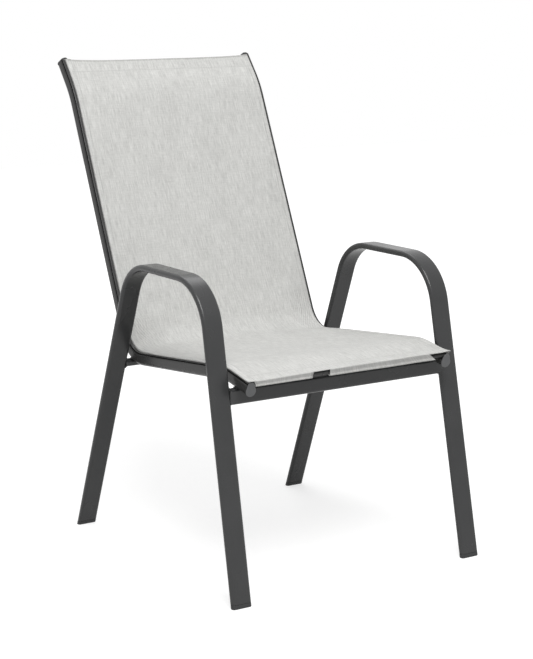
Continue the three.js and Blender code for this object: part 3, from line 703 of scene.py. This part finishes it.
def end_bead(outline, half_depth, half_height, swell, half):
    """A fillet round a crossbar's end, highest at the side frame and running out along the bar."""
    edges, verts = outline.edges[:], outline.verts[:]
    place, spread = 0.0, (1, 1)
    for share, height in BEAD_CURVE:
        if share:
            edges, verts = extrude_edges(outline, edges, (0, 0, 0))
        reach = half - share * BEAD_LENGTH
        grown = (1 + swell * height / half_depth, 1 + BEAD_HEIGHT * height / half_height)
        bmesh.ops.translate(outline, verts=verts, vec=(0, reach - place, 0))
        wider = (grown[0] / spread[0], 1, grown[1] / spread[1])
        bmesh.ops.scale(outline, vec=wider, verts=verts)
        place, spread = reach, grown
    for vert in outline.verts:
        turn = math.atan2(vert.co.z, vert.co.x)
        thick = max(0.0, 1 - (half - vert.co.y) / BEAD_LENGTH)
        ripple = BEAD_RIPPLE * thick * math.sin(BEAD_RIPPLES * turn)
        vert.co.xz *= 1 + ripple / max(half_depth, half_height)
    bmesh.ops.holes_fill(outline, edges=outline.edges, sides=0)


for bar_name, half, bar in (("front", front_half, FRONT_BAR), ("rear", rear_half, REAR_BAR)):
    bead_end = half - COPE_DEPTH + BEAD_SINK
    for side_name, side in SIDES.items():
        if bar_name == "front":
            bead = rounded_plate(bar["depth"], bar["height"], bar["corner"], 12)
            leave_outline(bead)
            flats = [edge for edge in bead.edges if edge.calc_length() > BEAD_FLAT]
            bmesh.ops.subdivide_edges(bead, edges=flats, cuts=BEAD_FLAT_CUTS)
            halves = (bar["depth"] / 2, bar["height"] / 2)
        else:
            bead = ring_outline(bar["radius"], 64)
            halves = (bar["radius"], bar["radius"])
        end_bead(bead, *halves, BEAD_DEPTH[bar_name], bead_end)
        across_chair(bead, 0, 0)
        bmesh.ops.scale(bead, vec=(side, 1, 1), verts=bead.verts)
        move(bead, y=bar["y"], z=bar["z"])
        weld = f"weld_{bar_name}_bar_{side_name}"
        make_crisp(bead, weld, frame_coat, "frame_steel")

# The rails lie on the front bar's top, and on the rear bar where it faces the middle of their bend
corner_run, back_run = sling_route.runs[3:5]
rear_middle = Vector((REAR_BAR["y"], REAR_BAR["z"]))
bend_middle = sling_route.place(corner_run.start, SLING_BENDS[1])
RAIL_WELDS = {
    "front": Vector((FRONT_BAR["y"], FRONT_BAR["z"] + FRONT_BAR["height"] / 2)),
    "rear": rear_middle + (bend_middle - rear_middle).normalized() * REAR_BAR["radius"],
}

for bar_name, (y, z) in RAIL_WELDS.items():
    for side_name, side in SIDES.items():
        lumps = bmesh.new()
        for way in (-1, 1):
            for part in (-1, 0, 1):
                lump = bmesh.ops.create_icosphere(lumps, subdivisions=3, radius=1)["verts"]
                bmesh.ops.scale(lumps, vec=LUMP_HALF_SIZE, verts=lump)
                x = side * RAIL_X + way * LUMP_OFFSET
                place = (x, y + part * LUMP_PITCH, z + LUMP_RISE)
                bmesh.ops.translate(lumps, verts=lump, vec=place)
        make_piece(lumps, f"weld_{bar_name}_rail_{side_name}", frame_coat, "frame_steel")


# Rods: plain extruded plastic rods, pushed through the sling's side hems. They fill the rails'
# channels behind the slots, so that the stretched hems can't slip out, and they don't show.
ROD_RADIUS = 1.7
ROD_BEND_STEP = 4
ROD_DARK = (0.6, 0.6, 0.58, 1)
ROD_PALE = (0.72, 0.72, 0.7, 1)
ROD_ROUGHNESS = 0.4

rod_plastic = moulded_plastic("rod_plastic", ROD_DARK, ROD_PALE, ROD_ROUGHNESS)

for side_name, side in SIDES.items():
    rod = ring_outline(ROD_RADIUS, 16)
    move(rod, x=side * RAIL_X, z=-CHANNEL_DEPTH)
    draw_rod(rod, sling_route.marks(RAIL_START, RAIL_END, ROD_BEND_STEP))
    sling_route.bend(rod)
    make_crisp(rod, f"rod_{side_name}", rod_plastic, "rod_plastic", f"keder_rod_{side_name}")


# Spreader bars: flat-oval steel tubes in the sling's two pockets, which keep the rails apart. A
# flat bent bracket, welded to the front crossbar, turns forward under the front bar to carry it.
SPREADER_HALF = 210.2
SPREADERS = {
    "front": {"along": 9.8, "depth": 4.3, "width": 16, "thickness": 8},
    "top": {"along": SLING_LENGTH - 23, "depth": 2.8, "width": 16, "thickness": 5},
}
SPREADER_WALL = 1.2
SPREADER_ROUNDING = 0.45
BRACKET_X = -67
BRACKET_WIDTH = 30
BRACKET_THICKNESS = 3
BRACKET_CORNER = 0.8
BRACKET_BEND = 4
BRACKET_BEND_STEP = 8
BRACKET_DEPTH = 10.1
BRACKET_TIP = 5.8
BRACKET_GAP = 0.3

for end_name, bar in SPREADERS.items():
    corner = SPREADER_ROUNDING * bar["thickness"]
    spreader = flat_oval(bar["width"], bar["thickness"], corner, SPREADER_WALL)
    draw_tube(spreader, [-SPREADER_HALF, SPREADER_HALF])
    middle = sling_route.place(bar["along"], -bar["depth"])
    run = sling_route.place(bar["along"] + 1, -bar["depth"]) - middle
    across_chair(spreader, middle.x, middle.y, math.atan2(run.y, run.x))
    node = f"{end_name}_spreader_bar"
    make_crisp(spreader, f"spreader_{end_name}", rail_coat, "rail_steel", node)

tip = sling_route.place(BRACKET_TIP, -BRACKET_DEPTH)
front_run = sling_route.runs[0].direction
elbow = tip + front_run * ((FRONT_BAR["y"] - tip.x) / front_run.x)
bracket_foot = Vector((FRONT_BAR["y"], FRONT_BAR["z"] + FRONT_BAR["height"] / 2 + BRACKET_GAP))
bracket_route = Route([bracket_foot, elbow, tip], [BRACKET_BEND])
bracket = rounded_plate(BRACKET_WIDTH, BRACKET_THICKNESS, BRACKET_CORNER, 3)
move(bracket, x=BRACKET_X)
draw_rod(bracket, bracket_route.marks(0, bracket_route.length, BRACKET_BEND_STEP))
bracket_route.bend(bracket)
make_crisp(bracket, "bracket", rail_coat, "rail_steel", "spreader_support_bracket")


# Sling: one panel of light grey woven mesh, drawn flat and then bent onto the rails' line. Its side
# hems go down through the rails' slots and round the rods, and its ends fold into pockets round the
# spreader bars.
FABRIC = 1.0
FABRIC_MIDDLE = 0.5
ROW_STEP = 4.5
ROW_BEND_STEP = 4
COLUMN_STEP = 6.5
# Side hems: the bend into the slot, the loop round the rod, the seam, and the doubled cloth
ROLL_RADIUS = 1.6
HEM_LOOP = 2.5
HEM_LOOP_GAP = 0.2
HEM_SEAM = 206
HEM_STEP = 0.5
HEM_STEP_WIDTH = 2.5
# Cloth lower than this on the flat panel is in the slot
IN_SLOT = -1.5
# Sag in the seat and the back, and the lift where the cloth cuts the corner between them
FREE_HALF_WIDTH = 207.5
SLING_HALF_WIDTH = 216.35
SEAT_SAG = 5
BACK_SAG = 3
CORNER_LIFT = 9
CORNER_LIFT_REACH = 120
CORNER_START, CORNER_END = corner_run.start, back_run.start
CORNER_MIDDLE = (CORNER_START + CORNER_END) / 2
# Ripples beside the rails there: how far in from the hem, how broad, how far they go before and
# after the bend, how high, and their run along and across the cloth
RIPPLE_PLACE = 16
RIPPLE_BREADTH = 14
RIPPLE_BEFORE = 40
RIPPLE_AFTER = 60
RIPPLE_HEIGHT = 0.8
RIPPLE_RUN = (2.1, 5)
# Slow unevenness of the cloth, which dies out towards the hems
UNEVEN_HEIGHT = 0.5
UNEVEN_PATCH = (70, 90)
UNEVEN_EDGE = 30
UNEVEN_LAYER = 0.5
# The edge lies over the rails' lips along the seat. Each front corner flares out and up
EDGE_OVERHANG = 5.4
EDGE_OVERHANG_END = 70
EDGE_RISE = 0.6
FLARE_REACH = 14
FLARE = {1: (0.9, 0.4), -1: (-2.2, 0.4)}
# The front edge arches up between its corners, and the top edge dips
FRONT_ARCH = 4
ARCH_REACH = 40
ARCH_SPAN = (-200, 150)
TOP_DIP = 10.8
TOP_DIP_AT_RAILS = {1: 6.5, -1: 4.5}
TOP_DIP_POWER = 5
# Pockets: how deep, from where the lower layer rises, and the seam
FOLD = 1.3
RIM_BULGE = 1.2
# How far the pocket's face has swelled at each share of the way down
RIM_SHAPE = ((0.35, 0.0), (0.6, 0.12), (0.75, 0.55), (0.88, 0.92), (1.0, 1.0))
FRONT_DROP = 9.6
FRONT_FOLD = 18.4
FRONT_SEAM = 25.8
TOP_DROP = 6.6
TOP_FOLD = 32
TOP_SEAM = 39
SEAM_HALF = 2
POCKET_HALF_WIDTH = 203.8
# The front pocket's halves beside the notch, and how far each end slants by the pocket's bottom
FRONT_POCKETS = [((-209, -84.5), (3, -3)), ((-49.5, 174), (0, 15))]
CORNER_TIP = -1.6
TIP_INSET = 0.9


def clamp(share):
    return min(1.0, max(0.0, share))


def bump_between(along, start, end):
    """A smooth bump of height one between two lengths."""
    return math.sin(math.pi * clamp((along - start) / (end - start))) ** 2


def ease_between(value, start, end):
    """Rises smoothly from nought at the start to one at the end."""
    share = clamp((value - start) / (end - start))
    return share * share * (3 - 2 * share)


def cloth_lift(x, along):
    """How far the cloth stands off the rails' line: it sags in the seat and the back, cuts the
    corner between them, and is drawn into small ripples beside the rails at that corner."""
    reach = CORNER_LIFT_REACH
    seat = bump_between(along, FRONT_SEAM, CORNER_MIDDLE - reach / 2)
    back = bump_between(along, CORNER_MIDDLE + reach / 2, SLING_LENGTH - TOP_SEAM)
    corner = bump_between(along, CORNER_MIDDLE - reach, CORNER_MIDDLE + reach)
    hang = CORNER_LIFT * corner - SEAT_SAG * seat - BACK_SAG * back
    lift = hang * (1 - min(1, abs(x) / FREE_HALF_WIDTH) ** 2)
    inward = FREE_HALF_WIDTH - abs(x)
    if inward > 0:
        beside = math.exp(-((inward - RIPPLE_PLACE) / RIPPLE_BREADTH) ** 2)
        near = beside * bump_between(along, CORNER_START - RIPPLE_BEFORE, CORNER_END + RIPPLE_AFTER)
        lift += RIPPLE_HEIGHT * near * math.sin(along / RIPPLE_RUN[0] + inward / RIPPLE_RUN[1])
        patch = Vector((x / UNEVEN_PATCH[0], along / UNEVEN_PATCH[1], UNEVEN_LAYER))
        lift += UNEVEN_HEIGHT * noise.noise(patch) * min(1, inward / UNEVEN_EDGE)
    return lift


top_line = sling_route.place(SLING_LENGTH)
top_run = sling_route.runs[-1].direction


def lay_cloth(bm):
    """Bends flat cloth onto the rails' line. It stands off it by its lift, arches up at its front
    edge, steps up over its doubled hems, lies out over the rails' lips along the seat, with flared
    front corners, and dips at the top, more in the middle than at each rail."""
    for vert in bm.verts:
        x, along, height = vert.co
        side = math.copysign(1, x)
        over_rail = height > IN_SLOT
        if over_rail or abs(x) <= FREE_HALF_WIDTH:
            depth = clamp((FABRIC_MIDDLE - height) / FRONT_DROP)
            near = clamp(1 - max(0.0, along) / ARCH_REACH) ** 2
            share = clamp((x - ARCH_SPAN[0]) / (ARCH_SPAN[1] - ARCH_SPAN[0]))
            arch = FRONT_ARCH * near * (1 - depth) * math.sin(math.pi / 2 * share)
            height += cloth_lift(x, along) + arch
        if over_rail:
            height += HEM_STEP * ease_between(abs(x), HEM_SEAM - HEM_STEP_WIDTH, HEM_SEAM)
            on_seat = 1 - ease_between(along, CORNER_START - EDGE_OVERHANG_END, CORNER_START)
            edge = ease_between(abs(x), HEM_SEAM, RAIL_X - 1) * on_seat
            out, up = FLARE[side]
            flare = clamp(1 - max(0.0, along) / FLARE_REACH) ** 2
            x += side * edge * (EDGE_OVERHANG + out * flare)
            height += edge * (EDGE_RISE + up * flare)
        place = sling_route.place(along, height)
        below = max(0.0, (top_line - place).dot(top_run))
        low = TOP_DIP_AT_RAILS[side]
        dip = low + (TOP_DIP - low) * (1 - min(1, abs(x) / SLING_HALF_WIDTH) ** TOP_DIP_POWER)
        place -= top_run * dip * clamp(1 - below / TOP_SEAM)
        vert.co = (x, place.x, place.y)


# The line across the cloth, from one hem's loop to the other's. Every vertex carries its place on
# the flat panel, across and along it.
sling = bmesh.new()
across = sling.verts.layers.float.new("across")
along_layer = sling.verts.layers.float.new("along")
slot_top = RAIL_X + (CHANNEL_DEPTH + FABRIC_MIDDLE) / math.tan(SLOT_ANGLE)
roll_turn = math.pi - SLOT_ANGLE
roll_start = slot_top - ROLL_RADIUS * math.tan(roll_turn / 2)
roll_reach = roll_start + ROLL_RADIUS * roll_turn

columns = []
pocket_ends = [end for ends, _ in FRONT_POCKETS for end in ends]
stops = [HEM_SEAM, POCKET_HALF_WIDTH, roll_start]
stops = sorted(pocket_ends + stops + [-stop for stop in stops])
for start, end in zip(stops, stops[1:]):
    count = math.ceil((end - start) / COLUMN_STEP)
    columns += [start + (end - start) * part / count for part in range(count)]
columns.append(roll_start)
chain = [sling.verts.new((x, 0, FABRIC_MIDDLE)) for x in columns]
for one, other in zip(chain, chain[1:]):
    sling.edges.new((one, other))
for vert in chain:
    vert[across] = vert.co.x
for vert, side in ((chain[-1], 1), (chain[0], -1)):
    known = set(sling.verts)
    centre = Vector((side * roll_start, 0, FABRIC_MIDDLE - ROLL_RADIUS))
    last = turn_on(sling, vert, centre, -side * roll_turn, steps=6)
    mouth = Vector((side * RAIL_X, 0, -CHANNEL_DEPTH))
    top_angle = SLOT_ANGLE - HEM_LOOP_GAP
    way = Vector((side * math.cos(top_angle), 0, math.sin(top_angle)))
    neck = line_to(sling, last, mouth + way * HEM_LOOP)
    turn_on(sling, neck, mouth, -side * 2 * (math.pi - HEM_LOOP_GAP), steps=12)
    run, before = abs(vert.co.x), vert.co.copy()
    for vert in sling.verts:
        if vert not in known:
            run += (vert.co - before).length
            before = vert.co.copy()
            vert[across] = side * run

# The panel between its folded ends, row by row
rows = sling_route.marks(FOLD, SLING_LENGTH - FOLD, ROW_BEND_STEP, ROW_STEP)
move(sling, y=rows[0])
for vert in sling.verts:
    vert[along_layer] = rows[0]
front_row = top_row = sling.edges[:]
for before, mark in zip(rows, rows[1:]):
    top_row, row_verts = extrude_edges(sling, top_row, (0, mark - before, 0))
    for vert in row_verts:
        vert[along_layer] = mark


def fold_end(edges, steps, outward, slant=None):
    """Folds an end of the cloth through steps, each a length and a height. The slant gives a
    place across the chair for one across the flat panel and the fold's height."""
    verts = {vert for edge in edges for vert in edge.verts}
    highest = max(verts, key=lambda vert: vert.co.z)
    place = highest.co.yz
    run = highest[along_layer]
    for along, height in steps:
        step = Vector((along, height)) - place
        edges, verts = extrude_edges(sling, edges, (0, step.x, step.y))
        run += outward * step.length
        place = Vector((along, height))
        for vert in verts:
            vert[along_layer] = run
            if slant:
                vert.co.x = slant(vert[across], height)


def arc_steps(middle, radius, start, end, count=4):
    """Places along an arc, each as a length and a height."""
    angles = [start + (end - start) * part / count for part in range(1, count + 1)]
    return [
        (middle[0] + radius * math.cos(angle), middle[1] + radius * math.sin(angle))
        for angle in angles
    ]


def edges_between(edges, low, high):
    """The edges of a row between two places across the cloth."""
    low, high = low - 0.01, high + 0.01
    return [edge for edge in edges if all(low <= vert[across] <= high for vert in edge.verts)]


def pocket_steps(end, inward, drop, fold, seam):
    """The way round a spreader bar: over the end, down, back under the bar and up to the seam."""
    low = FABRIC_MIDDLE - drop
    half = math.pi / 2
    turned = [half, math.pi, 1.5 * math.pi] if inward > 0 else [half, 0, -half]
    quarters = (0.25, 0.5, 0.75, 1)
    steps = arc_steps((end + inward * FOLD, FABRIC_MIDDLE - FOLD), FOLD, turned[0], turned[1])
    face = drop - 2 * FOLD
    for part, bulge in RIM_SHAPE:
        steps.append((end - inward * RIM_BULGE * bulge, FABRIC_MIDDLE - FOLD - face * part))
    steps += arc_steps((end + inward * (FOLD - RIM_BULGE), low + FOLD), FOLD, turned[1], turned[2])
    steps += [(end + inward * (FOLD + (fold - FOLD) * part), low) for part in quarters]
    meet, rise = seam - SEAM_HALF, drop - FABRIC
    for part in quarters:
        steps.append((end + inward * (fold + (meet - fold) * part), low + rise * part))
    steps.append((end + inward * (meet + 2 * SEAM_HALF), low + rise))
    return steps


def slanted(ends, slants):
    """Gives the slant of a pocket: a place across the chair for one and its height."""

    def place(x, height):
        depth = clamp((FABRIC_MIDDLE - height) / FRONT_DROP)
        share = (x - ends[0]) / (ends[1] - ends[0])
        return x + depth * (slants[0] * (1 - share) + slants[1] * share)

    return place


# Both ends fold into their pockets, and run out plain beside them and in the notch
front_steps = pocket_steps(0, 1, FRONT_DROP, FRONT_FOLD, FRONT_SEAM)
top_steps = pocket_steps(SLING_LENGTH, -1, TOP_DROP, TOP_FOLD, TOP_SEAM)
tip_reach = roll_reach - TIP_INSET
for ends, slants in FRONT_POCKETS:
    fold_end(edges_between(front_row, *ends), front_steps, -1, slanted(ends, slants))
for low, high, end in (
    (-tip_reach, pocket_ends[0], CORNER_TIP),
    (pocket_ends[1], pocket_ends[2], 0),
    (pocket_ends[3], tip_reach, CORNER_TIP),
):
    fold_end(edges_between(front_row, low, high), [(end, FABRIC_MIDDLE)], -1)
fold_end(edges_between(top_row, -POCKET_HALF_WIDTH, POCKET_HALF_WIDTH), top_steps, 1)
for low, high in ((-tip_reach, -POCKET_HALF_WIDTH), (POCKET_HALF_WIDTH, tip_reach)):
    fold_end(edges_between(top_row, low, high), [(SLING_LENGTH, FABRIC_MIDDLE)], 1)

uv_layer = sling.loops.layers.uv.new("cloth")
for face in sling.faces:
    for loop in face.loops:
        loop[uv_layer].uv = (loop.vert[across] / 1000, loop.vert[along_layer] / 1000)

lay_cloth(sling)

CLOTH_DARK = (0.38, 0.38, 0.368, 1)
CLOTH_PALE = (0.65, 0.65, 0.63, 1)
WEAVE_PITCH = 1.4
# Slubs and patches: how many a metre across and along the cloth, their detail and their share
CLOTH_TONES = [(420, 38, 3, 0.5), (700, 160, 2, 0.22), (50, 480, 2, 0.22), (22, 9, 3, 0.15)]
# Pulled yarn beside the seams, puckers in the top hem, and the painted light and shade of the
# puckers and creases in the cloth's colour
SEAM_LINE = 1.2
SEAM_SHADE = 0.3
PUCKERS = (230, 12, 1)
PUCKER_PAINTED_SHADING = 0.3
TOP_HEM_MIDDLE = 25
TOP_HEM_HALF = 16
# Painted shade on the folded ends, and a painted highlight on the front pocket's lower rim: between
# which lengths each changes, and its strength at both
FRONT_FOLD_PAINTED_SHADE = (-0.5, 1.5, 0.36, 0)
FRONT_RIM_PAINTED_HIGHLIGHT = (-7.2, -5.8, -0.5, 1)
TOP_FOLD_PAINTED_SHADE = (SLING_LENGTH - 7, SLING_LENGTH - 4, 0, 0.5)
# Creases beside the rails at the seat's rear corner, across and along the cloth, raised by the bump
# and painted as light and shade in the colour
CREASE_PITCH = 5.5
CREASE_SLANT = 0.49
CREASE_MIDDLE = (188, CORNER_MIDDLE + 20)
CREASE_REACH = (40, 70)
CREASE_PATCHES = (60, 20, 1)
CREASE_STRENGTH = 1.4


def woven_mesh(name, dark, pale):
    """A woven mesh of coated yarn: two tones of yarn with lengthwise slubs, a raised weave, fine
    puckers in the top hem, creases at the corner and a faint line of pulled yarn at each seam.
    Shade is painted on the folded ends and a highlight on the front pocket's lower rim, and the
    puckers and creases are painted with their light and shade."""
    material, tree, shader = new_material(name)
    place = add_node(tree, "ShaderNodeUVMap", uv_map="cloth").outputs["UV"]
    parts = add_node(tree, "ShaderNodeSeparateXYZ", {0: place}).outputs

    def work(operation, *values):
        return add_math(tree, operation, *values)

    def scaled(*scale):
        inputs = {0: place, 1: scale}
        return add_node(tree, "ShaderNodeVectorMath", inputs, operation="MULTIPLY").outputs[0]

    def stretched(across_scale, along_scale, detail):
        return noise_of(tree, scaled(across_scale, along_scale, 1), scale=1, detail=detail)

    def line_at(value, middle, half):
        """One on a line across or along the cloth, nought beside it."""
        off = work("ABSOLUTE", work("SUBTRACT", value, middle / 1000))
        return range_of(tree, off, 0, half / 1000, 1, 0)

    def shade_along(start, end, at_start, at_end):
        return range_of(tree, along, start / 1000, end / 1000, at_start, at_end)

    from_middle, along = work("ABSOLUTE", parts[0]), parts[1]
    tone = 0.0
    for *noise_shape, share in CLOTH_TONES:
        patch = range_of(tree, stretched(*noise_shape), *NOISE_SPAN, 0, share)
        tone = work("ADD", tone, patch)

    seam_places = (FRONT_SEAM - SEAM_HALF, SLING_LENGTH - TOP_SEAM + SEAM_HALF)
    seams = [line_at(along, seam, SEAM_LINE) for seam in seam_places]
    seams = work("MAXIMUM", line_at(from_middle, HEM_SEAM, SEAM_LINE), *seams)
    # Painted shade: the front pocket's face and the top fold are darkened, and the front pocket's
    # lower rim is lightened as a painted highlight
    fold = work("MULTIPLY", shade_along(*FRONT_FOLD_PAINTED_SHADE), shade_along(*FRONT_RIM_PAINTED_HIGHLIGHT))
    fold = work("ADD", fold, shade_along(*TOP_FOLD_PAINTED_SHADE))
    tone = work("SUBTRACT", tone, work("MULTIPLY", seams, SEAM_SHADE), fold)

    puckers = work(
        "MULTIPLY",
        range_of(tree, stretched(*PUCKERS), 0.35, 0.65, -0.5, 0.5),
        line_at(along, SLING_LENGTH - TOP_HEM_MIDDLE, TOP_HEM_HALF),
    )
    slant = work("SUBTRACT", work("MULTIPLY", along, CREASE_SLANT), from_middle)
    creases = work(
        "MULTIPLY",
        work("SINE", work("MULTIPLY", slant, 2 * math.pi * 1000 / CREASE_PITCH)),
        stretched(*CREASE_PATCHES),
        line_at(from_middle, CREASE_MIDDLE[0], CREASE_REACH[0]),
        line_at(along, CREASE_MIDDLE[1], CREASE_REACH[1]),
        CREASE_STRENGTH,
    )
    puckers = work("ADD", puckers, creases)
    # Painted light and shade: the puckers and creases lighten and darken the cloth's colour as well
    # as raising it
    tone = work("ADD", tone, work("MULTIPLY", puckers, PUCKER_PAINTED_SHADING))

    fine = 2 * math.pi * 1000 / WEAVE_PITCH
    yarn = add_node(tree, "ShaderNodeSeparateXYZ", {0: scaled(fine, fine, 1)}).outputs
    weave = work("MULTIPLY", work("SINE", yarn[0]), work("SINE", yarn[1]))
    woven = bump_of(tree, work("ADD", weave, tone), strength=0.6, distance=0.00025)
    fill_inputs(tree, shader, {
        "Base Color": mix_of(tree, tone, dark, pale),
        "Normal": bump_of(tree, puckers, strength=0.5, distance=0.001, Normal=woven),
        "Roughness": 0.78,
        "Specular IOR Level": 0.3,
        "Sheen Weight": 0.15,
        "Sheen Roughness": 0.4,
    })
    return material


cloth = woven_mesh("sling_mesh", CLOTH_DARK, CLOTH_PALE)
panel = make_piece(sling, "sling_cloth", cloth, "sling_fabric", "sling")
thick = panel.modifiers.new("thickness", "SOLIDIFY")
thick.thickness = FABRIC * METRES
thick.offset = 0


# Stitching: lockstitches of grey polyester thread along the side hems and across both pockets, each
# one a short raised loop on the cloth's face.
STITCH_PITCH = 3.6
STITCH_LENGTH = 2.7
STITCH_WIDTH = 0.62
STITCH_HEIGHT = 0.36
STITCH_LIFT = 0.05
SIDE_STITCH = 207.2
SIDE_STITCH_INSET = 5
THREAD_DARK = (0.33, 0.33, 0.32, 1)
THREAD_PALE = (0.48, 0.48, 0.465, 1)


def sewing_thread(name, dark, pale):
    """A twisted thread: tight slanting bands of two tones."""
    material, tree, shader = new_material(name)
    place = add_node(tree, "ShaderNodeTexCoord").outputs["Object"]
    bands = {"Vector": place, "Scale": 1600, "Distortion": 3, "Detail": 1}
    twist = add_node(tree, "ShaderNodeTexWave", bands, bands_direction="DIAGONAL").outputs["Fac"]
    fill_inputs(tree, shader, {
        "Base Color": mix_of(tree, twist, dark, pale),
        "Roughness": 0.6,
        "Normal": bump_of(tree, twist, strength=0.5, distance=0.0001),
    })
    return material


def sew(bm, start, end):
    """Sews a straight line of stitches on the flat cloth, from one place to another."""
    start, end = Vector(start), Vector(end)
    run = end - start
    count = round(run.length / STITCH_PITCH)
    lengthwise = abs(run.y) > abs(run.x)
    size = (STITCH_WIDTH, STITCH_LENGTH) if lengthwise else (STITCH_LENGTH, STITCH_WIDTH)
    shape = Matrix.Diagonal((*size, STITCH_HEIGHT, 1))
    for part in range(count):
        middle = start.lerp(end, (part + 0.5) / count)
        place = Matrix.Translation((middle.x, middle.y, FABRIC + STITCH_LIFT))
        bmesh.ops.create_icosphere(bm, subdivisions=1, radius=0.5, matrix=place @ shape)


thread = sewing_thread("sling_thread", THREAD_DARK, THREAD_PALE)
side_ends = (SIDE_STITCH_INSET, SLING_LENGTH - SIDE_STITCH_INSET)
top_along = SLING_LENGTH - TOP_SEAM
seam_lines = {
    f"side_{side_name}": [[(side * SIDE_STITCH, along) for along in side_ends]]
    for side_name, side in SIDES.items()
}
seam_lines["front"] = [[(end, FRONT_SEAM) for end in ends] for ends, _ in FRONT_POCKETS]
seam_lines["top"] = [[(-POCKET_HALF_WIDTH, top_along), (POCKET_HALF_WIDTH, top_along)]]
for seam_name, lines in seam_lines.items():
    stitches = bmesh.new()
    for start, end in lines:
        sew(stitches, start, end)
    lay_cloth(stitches)
    make_piece(stitches, f"stitches_{seam_name}", thread, "sling_fabric")
